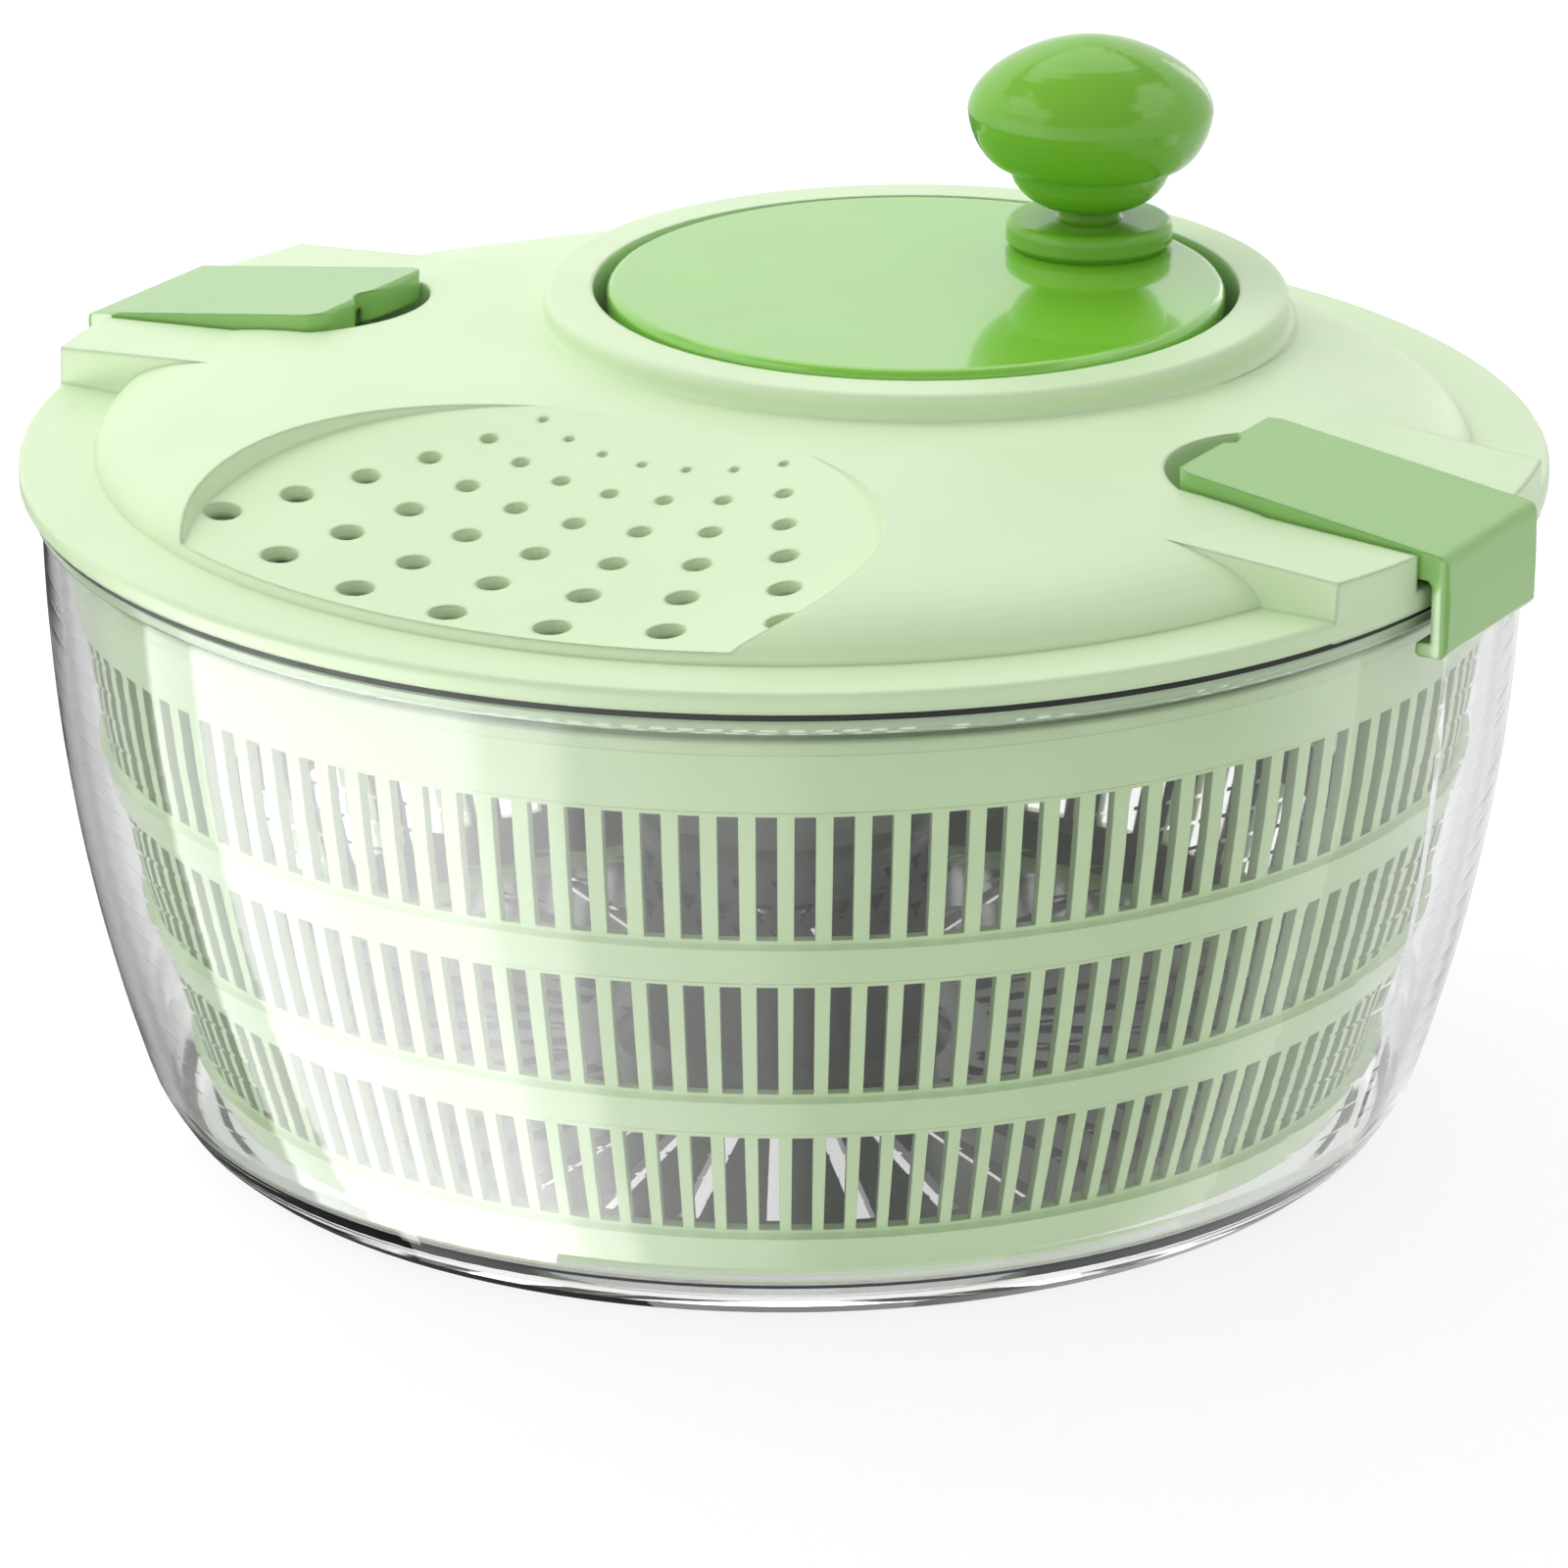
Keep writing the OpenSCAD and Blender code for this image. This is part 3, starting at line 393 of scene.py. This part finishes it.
@dataclass(frozen=True)
class MouldedPlastic:
    """Opaque moulded plastic with flow marks, tool grain and edges that are a little worn.

    A vessel may have an inner colour, which is painted shade: it darkens the vessel's inside where that is
    closed in, in place of the shade there, and the plastic is the same throughout.
    """

    name: str
    colour: Colour
    polish: Polish = Polish.GLOSS
    lacquer: float = 0.0
    lacquer_roughness: float = 0.04
    edge_radius: float = 0.0006
    edge_wear: float = 0.16
    edge_shade: float = 1.18
    edge_roughness: float = 0.06
    mottle: float = 0.02
    mottle_size: float = 0.045
    mottle_span: Span = (0.35, 0.65)
    flow_size: float = 0.012
    flow_stretch: Triple = (1.0, 1.0, 0.35)
    flow_swing: float = 0.28
    # inner is a painted shade colour for a closed-in inside, not a second plastic; the reach below sets how
    # far round counts.
    inner: Colour | None = None
    shade_reach: float = 0.30
    core: float = 0.085

    def make(self) -> bpy.types.Material:
        """Builds the material.

        Returns:
            The material.
        """
        recipe = Recipe.material(self.name)
        roughness, grain_height, grain_size = self.polish.value
        cloud = recipe.noise(self.mottle_size, detail=3.0)
        flow = recipe.noise(self.flow_size, detail=4.0, stretch=self.flow_stretch)
        grain = recipe.noise(grain_size)
        rounded = recipe.soft_edges(self.edge_radius)
        edge = recipe.edge_mask(rounded)
        dark, light = shade(self.colour, 1 - self.mottle), shade(self.colour, 1 + self.mottle)
        body = recipe.blend(cloud.ramp(*self.mottle_span), dark, light)
        body = recipe.blend(edge * self.edge_wear, body, shade(self.colour, self.edge_shade))
        # Painted shade: the inside takes the inner colour where it is closed in.
        if self.inner is not None:
            painted_shade_mask = recipe.inside(self.core) * recipe.enclosed(self.shade_reach)
            body = recipe.blend(painted_shade_mask, body, self.inner)
        swing = 1 - self.flow_swing / 2 + flow * self.flow_swing
        return recipe.finish(
            recipe.principled(
                {
                    "Base Color": body,
                    "Roughness": roughness * swing + edge * self.edge_roughness,
                    "IOR": PLASTIC_IOR,
                    "Coat Weight": self.lacquer,
                    "Coat Roughness": self.lacquer_roughness,
                    "Coat IOR": PLASTIC_IOR,
                    "Normal": recipe.bump(grain, grain_height, rounded),
                }
            )
        )


@dataclass(frozen=True)
class Slant:
    """Painted shade: the grey laid on a clear wall between two slants of view, from 0 face on to 1 along
    the wall.
    """

    start: float
    end: float
    colour: Colour


@dataclass(frozen=True)
class ClearPlastic:
    """Clear moulded plastic that refracts and lets lamp light through.

    Where a wall is seen along its length it is greyed, which is painted shade. Its lip, from lip_z up, is
    satin and pale, which is a painted reflection in place of the clear rim's own reflections.
    """

    name: str
    tint: Colour
    slant_shades: tuple[Slant, ...] = (
        Slant(0.60, 0.68, (0.80, 0.80, 0.81)),
        Slant(0.74, 0.79, (0.52, 0.52, 0.53)),
        Slant(0.93, 0.99, (0.34, 0.34, 0.34)),
    )
    # The pale lip colour is a painted reflection: it stands in for the silvery look of the clear rim.
    lip: Colour = (0.62, 0.78, 0.53)
    lip_z: float = 0.1087
    lip_blur: float = 0.0004
    lip_share: float = 0.65
    lip_roughness: float = 0.25
    haze: Span = (0.015, 0.036)
    smear_size: float = 0.010
    smear_shade: float = 0.985
    smear_span: Span = (0.4, 0.7)
    haze_span: Span = (0.35, 0.75)
    wave_size: float = 0.035
    wave_height: float = 0.00012
    shadow: float = 0.97

    def make(self) -> bpy.types.Material:
        """Builds the material.

        Returns:
            The material.
        """
        recipe = Recipe.material(self.name)
        smear = recipe.noise(self.smear_size, detail=4.0)
        wave = recipe.noise(self.wave_size, detail=1.0)
        facing = recipe.add("ShaderNodeLayerWeight", None, {"Blend": 0.5}, "Facing")
        smeared = shade(self.tint, self.smear_shade)
        colour = recipe.blend(smear.ramp(*self.smear_span), self.tint, smeared)
        # Painted shade: the wall greys the more it is seen along its length.
        for slant in self.slant_shades:
            colour = recipe.blend(facing.ramp(slant.start, slant.end), colour, slant.colour)
        glass = recipe.principled(
            {
                "Base Color": colour,
                "Roughness": smear.ramp(*self.haze_span, *self.haze),
                "IOR": CLEAR_IOR,
                "Transmission Weight": 1.0,
                "Normal": recipe.bump(wave, self.wave_height),
            }
        )
        # Painted reflection: an opaque pale satin laid over the clear lip.
        satin = recipe.principled(
            {"Base Color": self.lip, "Roughness": self.lip_roughness, "IOR": CLEAR_IOR}
        )
        height = recipe.add("ShaderNodeSeparateXYZ", None, (recipe.place(),), "Z")
        on_lip = height.ramp(self.lip_z - self.lip_blur, self.lip_z + self.lip_blur)
        body = recipe.mix(on_lip * self.lip_share, glass, satin)
        clear = recipe.add("ShaderNodeBsdfTransparent", None, {"Color": shade(WHITE, self.shadow)})
        is_shadow = recipe.add("ShaderNodeLightPath", result="Is Shadow Ray")
        return recipe.finish(recipe.mix(is_shadow, body, clear))


@dataclass(frozen=True)
class SealRubber:
    """Dark elastic rubber with a dusty bloom."""

    name: str
    colour: Colour
    bloom_size: float = 0.006
    bloom_share: float = 0.5
    bloom_shade: float = 1.9
    bloom_span: Span = (0.45, 0.75)
    roughness: float = 0.52
    roughness_swing: float = 0.2
    grain_size: float = 0.0005
    grain_height: float = 0.00002

    def make(self) -> bpy.types.Material:
        """Builds the material.

        Returns:
            The material.
        """
        recipe = Recipe.material(self.name)
        bloom = recipe.noise(self.bloom_size, detail=4.0)
        share = bloom.ramp(*self.bloom_span) * self.bloom_share
        return recipe.finish(
            recipe.principled(
                {
                    "Base Color": recipe.blend(share, self.colour, shade(self.colour, self.bloom_shade)),
                    "Roughness": self.roughness + bloom * self.roughness_swing,
                    "IOR": PLASTIC_IOR,
                    "Normal": recipe.bump(recipe.noise(self.grain_size), self.grain_height),
                }
            )
        )


@dataclass(frozen=True)
class BrightSteel:
    """Plated steel with rings of tool marks about an upright axis."""

    name: str
    colour: Colour
    axis: tuple[float, float] = (0.0, 0.0)
    turning: Turning = Turning.TURNED
    ring_scale: float = 0.05
    ring_waver: float = 0.6
    ring_height: float = 0.000008
    stain_size: float = 0.004
    stain_share: float = 0.5
    stain_shade: float = 0.78
    stain_span: Span = (0.45, 0.8)
    roughness: float = 0.22
    roughness_swing: float = 0.16

    def make(self) -> bpy.types.Material:
        """Builds the material.

        Returns:
            The material.
        """
        recipe = Recipe.material(self.name)
        rings = recipe.add(
            "ShaderNodeTexWave",
            {"wave_type": "RINGS", "rings_direction": "Z"},
            {
                "Vector": recipe.vector("SUBTRACT", recipe.place(), (*self.axis, 0.0)),
                "Scale": self.ring_scale / self.turning.value,
                "Distortion": self.ring_waver,
                "Detail": 2.0,
                "Detail Scale": 2.0,
            },
            "Fac",
        )
        stain = recipe.noise(self.stain_size, detail=4.0)
        share = stain.ramp(*self.stain_span) * self.stain_share
        return recipe.finish(
            recipe.principled(
                {
                    "Base Color": recipe.blend(share, self.colour, shade(self.colour, self.stain_shade)),
                    "Metallic": 1.0,
                    "Roughness": self.roughness + stain * self.roughness_swing,
                    "Normal": recipe.bump(rings, self.ring_height),
                }
            )
        )


Finish = Union[MouldedPlastic, ClearPlastic, SealRubber, BrightSteel]

PALE: Colour = (0.680, 0.850, 0.545)
BASKET_PALE: Colour = (0.700, 0.900, 0.540)
# Painted shade for the basket's closed-in inside; the basket plastic there is still pale green.
BASKET_PAINTED_SHADE: Colour = (0.150, 0.158, 0.145)
MID: Colour = (0.260, 0.540, 0.130)
LEAF: Colour = (0.230, 0.610, 0.045)
KNOB_LEAF: Colour = (0.190, 0.490, 0.034)
MILK: Colour = (0.80, 0.80, 0.76)
STEEL: Colour = (0.62, 0.62, 0.63)
# Near black for the seal ring: painted shade that stands in for the dark line of shade and dark reflection
# between the lid and the bowl's rim.
SEAL_SHADE_BLACK: Colour = (0.012, 0.014, 0.012)
CLEAR: Colour = (0.985, 0.990, 0.985)


def dress(node: str, finish: Finish) -> None:
    """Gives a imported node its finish.

    Args:
        node: Name of the node.
        finish: The finish it takes.
    """
    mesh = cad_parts[node].data
    material = finish.make()
    mesh.materials.clear()
    mesh.materials.append(material)
    log.info("%s: %s", node, material.name)


def dress_steel(nodes: Iterable[str], axis: tuple[float, float] = (0.0, 0.0)) -> None:
    """Gives turned metal nodes bright steel, each with its own material.

    Args:
        nodes: Names of the nodes.
        axis: Where the upright axis of their tool marks stands.
    """
    for node in nodes:
        dress(node, BrightSteel(f"{node}_steel", STEEL, axis))


def axis_of(node: str) -> tuple[float, float]:
    """Finds the upright axis through a node's middle.

    Args:
        node: Name of the node.

    Returns:
        Where the axis stands, in metres.
    """
    low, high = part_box(node)
    return (low.x + high.x) / 2, (low.y + high.y) / 2


# ---- sub-assemblies ----


def acetal(name: str) -> MouldedPlastic:
    """The milky bearing plastic of bushes and gears."""
    return MouldedPlastic(name, MILK, Polish.SATIN)


@dataclass
class Bowl:
    """The clear bowl and the bush on its centre post."""

    clear: ClearPlastic = ClearPlastic("clear_plastic", CLEAR)
    bush: MouldedPlastic = acetal("bush_acetal")

    def build(self) -> None:
        """Dresses the bowl and its bush."""
        dress("bowl", self.clear)
        dress("pivot_bush", self.bush)


@dataclass
class Basket:
    """The slotted basket."""

    # The inner colour is painted shade on the basket's closed-in inside.
    plastic: MouldedPlastic = MouldedPlastic(
        "basket_plastic", BASKET_PALE, edge_radius=0.0003, inner=BASKET_PAINTED_SHADE
    )

    def build(self) -> None:
        """Dresses the basket."""
        dress("basket", self.plastic)


@dataclass
class Lid:
    """The domed lid, its seal and the bushes and pins in it."""

    plastic: MouldedPlastic = MouldedPlastic("lid_plastic", PALE, Polish.SATIN, edge_radius=0.0014)
    # The seal ring is a real piece; its near-black colour is painted shade for the dark line between the
    # lid and the bowl's rim.
    rubber: SealRubber = SealRubber("seal_rubber", SEAL_SHADE_BLACK)
    bush: MouldedPlastic = acetal("lid_acetal")
    pin: BrightSteel = BrightSteel("pin_steel", STEEL, turning=Turning.PRESSED)

    def build(self) -> None:
        """Dresses the lid and what is fixed in it."""
        dress("lid", self.plastic)
        dress("seal_ring", self.rubber)
        for node in ("shaft_bush", "crank_bush"):
            dress(node, self.bush)
        dress("clip_pins", self.pin)


@dataclass
class Clips:
    """The two locking clips."""

    plastic: MouldedPlastic = MouldedPlastic("clip_plastic", MID, lacquer=0.45, edge_radius=0.0010)

    def build(self) -> None:
        """Dresses both clips."""
        for node in ("clip_right", "clip_left"):
            dress(node, self.plastic)


@dataclass
class Crank:
    """The crank disc with its gear, screws and the foot and spindle of the knob."""

    disc: MouldedPlastic = MouldedPlastic("disc_plastic", LEAF, lacquer=1.0)
    foot: MouldedPlastic = MouldedPlastic("knob_foot_plastic", KNOB_LEAF, Polish.MIRROR)
    gear: MouldedPlastic = acetal("gear_acetal")

    def build(self) -> None:
        """Dresses the crank's pieces."""
        dress("crank_disc", self.disc)
        dress("knob_base", self.foot)
        dress("drive_gear", self.gear)
        dress_steel(("gear_screws", "crank_washer", "crank_screw"), axis_of("crank_disc"))
        dress_steel(("knob_spindle", "knob_washer", "knob_screw"), axis_of("knob_spindle"))


@dataclass
class Knob:
    """The turning knob: cup and grip."""

    plastic: MouldedPlastic = MouldedPlastic("knob_plastic", KNOB_LEAF, Polish.MIRROR)

    def build(self) -> None:
        """Dresses the knob's two mouldings."""
        for node in ("knob_cup", "knob_grip"):
            dress(node, self.plastic)


@dataclass
class Drive:
    """The shaft, pinion and forked plate under the lid."""

    plastic: MouldedPlastic = acetal("drive_acetal")

    def build(self) -> None:
        """Dresses the drive's pieces."""
        for node in ("pinion", "drive_plate"):
            dress(node, self.plastic)
        dress_steel(("drive_shaft", "plate_washer", "plate_screw"))


# ---- meshes of the studio ----


Stops = tuple[Span, ...]
GlowPoint = tuple[Vector, float]


def level(at: float, stops: Stops) -> float:
    """Reads a curve of stops with soft steps between them.

    Args:
        at: Where to read it.
        stops: Place and value of each stop, in rising order.

    Returns:
        The value there.
    """
    if at <= stops[0][0]:
        return stops[0][1]
    for (low, start), (high, end) in zip(stops, stops[1:]):
        if at < high:
            share = (at - low) / (high - low)
            return start + (end - start) * share * share * (3 - 2 * share)
    return stops[-1][1]


def toward(bearing: float) -> tuple[float, float]:
    """Direction of a bearing in degrees from the front, positive to the right, as x and y."""
    turn = math.radians(bearing)
    return math.sin(turn), -math.cos(turn)


def settle(mesh: bmesh.types.BMesh, name: str, z: float = 0.0) -> bpy.types.Object:
    """Makes a smooth object of a mesh, with its place in the mesh.

    Args:
        mesh: The mesh, which is freed.
        name: Name of the piece.
        z: Height it is raised to.

    Returns:
        The object.
    """
    bmesh.ops.translate(mesh, verts=mesh.verts, vec=Vector((0.0, 0.0, z)))
    data = bpy.data.meshes.new(name)
    mesh.to_mesh(data)
    mesh.free()
    for face in data.polygons:
        face.use_smooth = True
    piece = bpy.data.objects.new(name, data)
    bpy.context.scene.collection.objects.link(piece)
    log.info("%s: %d faces", name, len(data.polygons))
    return piece


def weave_light(
    name: str, rows: Sequence[Sequence[GlowPoint]], peak: float, ring: bool = False, z: float = 0.0
) -> None:
    """Makes a sheet that glows point by point, for shiny faces alone.

    Args:
        name: Name of the piece.
        rows: Place and glow of each point, row by row, the glow in whites.
        peak: The brightest glow that it can hold.
        ring: Whether each row closes on itself, and the last one is capped.
        z: Height it is raised to.
    """
    mesh = bmesh.new()
    layer = mesh.verts.layers.float.new("glow")
    grid = []
    for row in rows:
        line = []
        for place, glow in row:
            point = mesh.verts.new(place)
            point[layer] = glow / peak
            line.append(point)
        grid.append(line)
    for lower, upper in zip(grid, grid[1:]):
        for k in range(len(lower) if ring else len(lower) - 1):
            n = (k + 1) % len(lower)
            mesh.faces.new((lower[k], lower[n], upper[n], upper[k]))
    if ring:
        mesh.faces.new(grid[-1])
    piece = settle(mesh, name, z)
    recipe = Recipe.material(f"{name}_light")
    shine = recipe.add("ShaderNodeAttribute", {"attribute_name": "glow"}, result="Fac")
    piece.data.materials.append(recipe.finish(recipe.mix(shine, recipe.glow(0.0), recipe.glow(peak))))
    piece.visible_camera = False
    piece.visible_diffuse = False
    piece.visible_transmission = False
    piece.visible_shadow = False
    piece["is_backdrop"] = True


# ---- studio ----


@dataclass(frozen=True)
class Softbox:
    """One studio lamp with a soft face that no shiny piece mirrors, aimed at the object's middle.

    Bearing and height are in degrees, the rest in metres but radiance, which is in whites.
    """

    name: str
    bearing: float
    height: float
    distance: float
    width: float
    tall: float
    radiance: float

    def hang(self, target: Vector) -> None:
        """Places the lamp.

        Args:
            target: What it points at.
        """
        lamp = bpy.data.lights.new(self.name, "AREA")
        lamp.shape = "RECTANGLE"
        lamp.size = self.width
        lamp.size_y = self.tall
        lamp.energy = self.radiance * math.pi * self.width * self.tall
        x, y = toward(self.bearing)
        lift = math.radians(self.height)
        away = Vector((x * math.cos(lift), y * math.cos(lift), math.sin(lift)))
        holder = bpy.data.objects.new(self.name, lamp)
        holder.location = target + away * self.distance
        holder.rotation_mode = "QUATERNION"
        holder.rotation_quaternion = (-away).to_track_quat("-Z", "Y")
        holder.visible_camera = False
        holder.visible_glossy = False
        bpy.context.scene.collection.objects.link(holder)
        log.info("%s: lamp", self.name)


@dataclass(frozen=True)
class GlowWall:
    """A curved white wall that only shiny faces mirror; parts of it are brighter or darker than white.

    Extra is what a bearing in degrees adds to white, and share is how much of that each height takes.
    """

    name: str
    radius: float
    extra: Stops
    share: Stops
    peak: float
    columns: int = 96
    rows: int = 64

    def _row(self, z: float) -> list[GlowPoint]:
        """Works out one row of the wall.

        Args:
            z: Height of the row.

        Returns:
            Its points from left to right.
        """
        left, right = self.extra[0][0], self.extra[-1][0]
        row = []
        for column in range(self.columns + 1):
            bearing = left + (right - left) * column / self.columns
            x, y = toward(bearing)
            glow = 1 + level(bearing, self.extra) * level(z, self.share)
            row.append((Vector((x * self.radius, y * self.radius, z)), glow))
        return row

    def build(self) -> None:
        """Builds the wall."""
        low, high = self.share[0][0], self.share[-1][0]
        rows = [self._row(low + (high - low) * row / self.rows) for row in range(self.rows + 1)]
        weave_light(self.name, rows, self.peak)


@dataclass(frozen=True)
class Patch:
    """A bright area of the dome, in degrees: an ellipse at power 2, nearly a rectangle at high powers."""

    bearing: float
    height: float
    half_wide: float
    half_tall: float
    power: float
    glow: float
    blur: float = 0.1

    def at(self, bearing: float, height: float) -> float:
        """What the patch adds in a direction.

        Args:
            bearing: Bearing of the direction in degrees.
            height: Its height above the horizon in degrees.

        Returns:
            The glow to add there, in whites.
        """
        across = ((bearing - self.bearing + 180) % 360 - 180) / self.half_wide
        up = (height - self.height) / self.half_tall
        reach = (abs(across) ** self.power + abs(up) ** self.power) ** (1 / self.power)
        return level(reach, ((1 - self.blur, self.glow), (1 + self.blur, 0.0)))


@dataclass(frozen=True)
class GlowDome:
    """A dim dome over the object that only shiny faces mirror, with brighter patches on it."""

    name: str
    radius: float
    middle_z: float
    lowest: float
    highest: float
    dim: float
    patches: tuple[Patch, ...]
    peak: float
    columns: int = 180
    rows: int = 60

    def _row(self, height: float) -> list[GlowPoint]:
        """Works out one ring of the dome.

        Args:
            height: Its height above the horizon in degrees.

        Returns:
            Its points in order round the dome.
        """
        r = math.cos(math.radians(height)) * self.radius
        z = math.sin(math.radians(height)) * self.radius
        row = []
        for column in range(self.columns):
            bearing = 360.0 * column / self.columns
            x, y = toward(bearing)
            glow = self.dim + sum(patch.at(bearing, height) for patch in self.patches)
            row.append((Vector((x * r, y * r, z)), glow))
        return row

    def build(self) -> None:
        """Builds the dome."""
        step = (self.highest - self.lowest) / (self.rows - 1)
        rows = [self._row(self.lowest + step * row) for row in range(self.rows)]
        weave_light(self.name, rows, self.peak, ring=True, z=self.middle_z)


@dataclass(frozen=True)
class Floor:
    """A round white floor that keeps the object's shadow, in rings that are finer towards the middle."""

    radius: float = 6.0
    steps: int = 96
    rings: int = 12
    spread: float = 2.5
    drop: float = 0.0002
    dark: Colour = (0.93, 0.93, 0.93)
    light: Colour = (0.96, 0.96, 0.96)
    speck_size: float = 0.004
    speck_span: Span = (0.3, 0.7)
    roughness: float = 0.8
    gloss: float = 0.1
    glow: float = 1.12
    glow_share: float = 0.7

    def _finish(self) -> bpy.types.Material:
        """Makes the floor's material: paper, and to look at also a share of plain white.

        Returns:
            The material.
        """
        recipe = Recipe.material("studio_floor")
        speck = recipe.noise(self.speck_size, detail=3.0)
        body = recipe.blend(speck.ramp(*self.speck_span), self.dark, self.light)
        paper = recipe.principled(
            {"Base Color": body, "Roughness": self.roughness, "Specular IOR Level": self.gloss}
        )
        share = recipe.looked_at() * self.glow_share
        return recipe.finish(recipe.mix(share, paper, recipe.glow(self.glow)))

    def build(self) -> None:
        """Lays the floor."""
        mesh = bmesh.new()
        spokes = [toward(360.0 * k / self.steps) for k in range(self.steps)]
        centre = mesh.verts.new((0.0, 0.0, 0.0))
        radii = [self.radius * (k / self.rings) ** self.spread for k in range(1, self.rings + 1)]
        circles = [[mesh.verts.new((r * x, r * y, 0.0)) for x, y in spokes] for r in radii]
        for k in range(self.steps):
            n = (k + 1) % self.steps
            mesh.faces.new((centre, circles[0][k], circles[0][n]))
            for inner, outer in zip(circles, circles[1:]):
                mesh.faces.new((inner[k], outer[k], outer[n], inner[n]))
        floor = settle(mesh, "studio_floor", -self.drop)
        floor.data.materials.append(self._finish())
        floor.visible_glossy = False
        floor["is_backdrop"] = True


@dataclass(frozen=True)
class ViewPoint:
    """The camera: where it stands, its turn and downward pitch in degrees, and its lens."""

    at: Triple = (0.62708, -1.05205, 0.50829)
    turn: float = 30.797
    pitch: float = 20.392
    lens: float = 172.984
    sensor: float = 36.0
    nearest: float = 0.05
    farthest: float = 50.0

    def build(self) -> None:
        """Sets the camera up."""
        data = bpy.data.cameras.new("camera")
        data.sensor_fit = "HORIZONTAL"
        data.sensor_width = self.sensor
        data.lens = self.lens
        data.clip_start, data.clip_end = self.nearest, self.farthest
        holder = bpy.data.objects.new("camera", data)
        holder.location = self.at
        holder.rotation_euler = (math.pi / 2 - math.radians(self.pitch), 0.0, math.radians(self.turn))
        bpy.context.scene.collection.objects.link(holder)
        bpy.context.scene.camera = holder


@dataclass
class Studio:
    """Floor, backdrop light, lamps, mirrored walls and the camera."""

    ambient: float = 0.64
    floor: Floor = Floor()
    camera: ViewPoint = ViewPoint()
    lamps: tuple[Softbox, ...] = (
        Softbox("lamp_low_back", -150, 18, 1.2, 0.8, 0.4, 1.40),
        Softbox("lamp_back", -172, 40, 1.1, 0.8, 0.8, 0.55),
        Softbox("lamp_left_rear", -105, 40, 1.1, 0.8, 0.8, 2.40),
        Softbox("lamp_left", -60, 42, 1.1, 0.8, 0.8, 0.82),
        Softbox("lamp_front_left", -15, 40, 1.1, 0.8, 0.8, 0.20),
        Softbox("lamp_low_front", -15, 8, 1.2, 0.8, 0.5, 0.22),
        Softbox("lamp_low_left", -75, 8, 1.2, 0.8, 0.5, 0.26),
    )
    walls: tuple[GlowWall, ...] = (
        GlowWall(
            name="wall_behind",
            radius=1.8,
            extra=((180.0, 0.0), (184.0, 1.0), (238.0, 1.0), (242.0, 0.0)),
            share=(
                (-0.20, 0.0),
                (0.30, 0.95),
                (0.66, 0.95),
                (0.70, 0.85),
                (0.74, 0.45),
                (0.78, 0.1),
                (0.9, 0.0),
            ),
            peak=2.0,
        ),
        GlowWall(
            name="wall_left",
            radius=1.2,
            extra=(
                (-170.0, 0.0),
                (-150.0, -0.9),
                (-80.5, -0.9),
                (-78.5, 2.8),
                (-68.0, 2.8),
                (-66.0, 7.5),
                (-45.0, 10.0),
                (-18.0, 11.0),
                (-12.0, 7.5),
                (-5.0, 6.5),
                (2.0, 2.6),
                (22.0, 1.4),
                (42.0, -0.6),
                (95.0, -0.8),
                (125.0, 0.8),
            ),
            share=((-1.8, 1.0), (-0.25, 1.0), (-0.05, 0.08), (0.5, 0.08), (0.7, 0.0)),
            peak=12.0,
            columns=300,
        ),
    )
    dome: GlowDome = GlowDome(
        name="dome",
        radius=1.1,
        middle_z=0.19,
        lowest=34.0,
        highest=89.0,
        dim=0.30,
        patches=(
            Patch(-148, 50, 36, 15, 2.0, 1.2),
            Patch(-56, 38, 34, 18, 8.0, 1.3),
            Patch(130, 38, 32, 20, 8.0, 1.3),
        ),
        peak=2.2,
    )

    def _white_light(self) -> None:
        """Sets the world: white to look at, softer as a light."""
        recipe = Recipe(bpy.data.worlds.new("studio_world"), "ShaderNodeOutputWorld")
        soft, white = (
            recipe.add("ShaderNodeBackground", None, {"Color": WHITE, "Strength": strength})
            for strength in (self.ambient, 1.0)
        )
        bpy.context.scene.world = recipe.finish(recipe.mix(recipe.looked_at(), soft, white))

    def build(self, middle: Vector) -> None:
        """Builds the studio.

        Args:
            middle: Middle of the object, which the lamps point at.
        """
        bpy.context.scene.view_settings.view_transform = "Standard"
        self._white_light()
        for piece in (self.floor, *self.walls, self.dome):
            piece.build()
        for lamp in self.lamps:
            lamp.hang(middle)
        self.camera.build()


def main() -> None:
    """Builds every sub-assembly in order, then the studio."""
    logging.basicConfig(level=logging.INFO, format="%(name)s: %(message)s")
    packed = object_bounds()
    for part in (Bowl(), Basket(), Lid(), Clips(), Crank(), Knob(), Drive()):
        log.info("building %s", type(part).__name__)
        part.build()
    low, high = packed
    Studio().build((low + high) / 2)


if __name__ == "__main__":
    main()
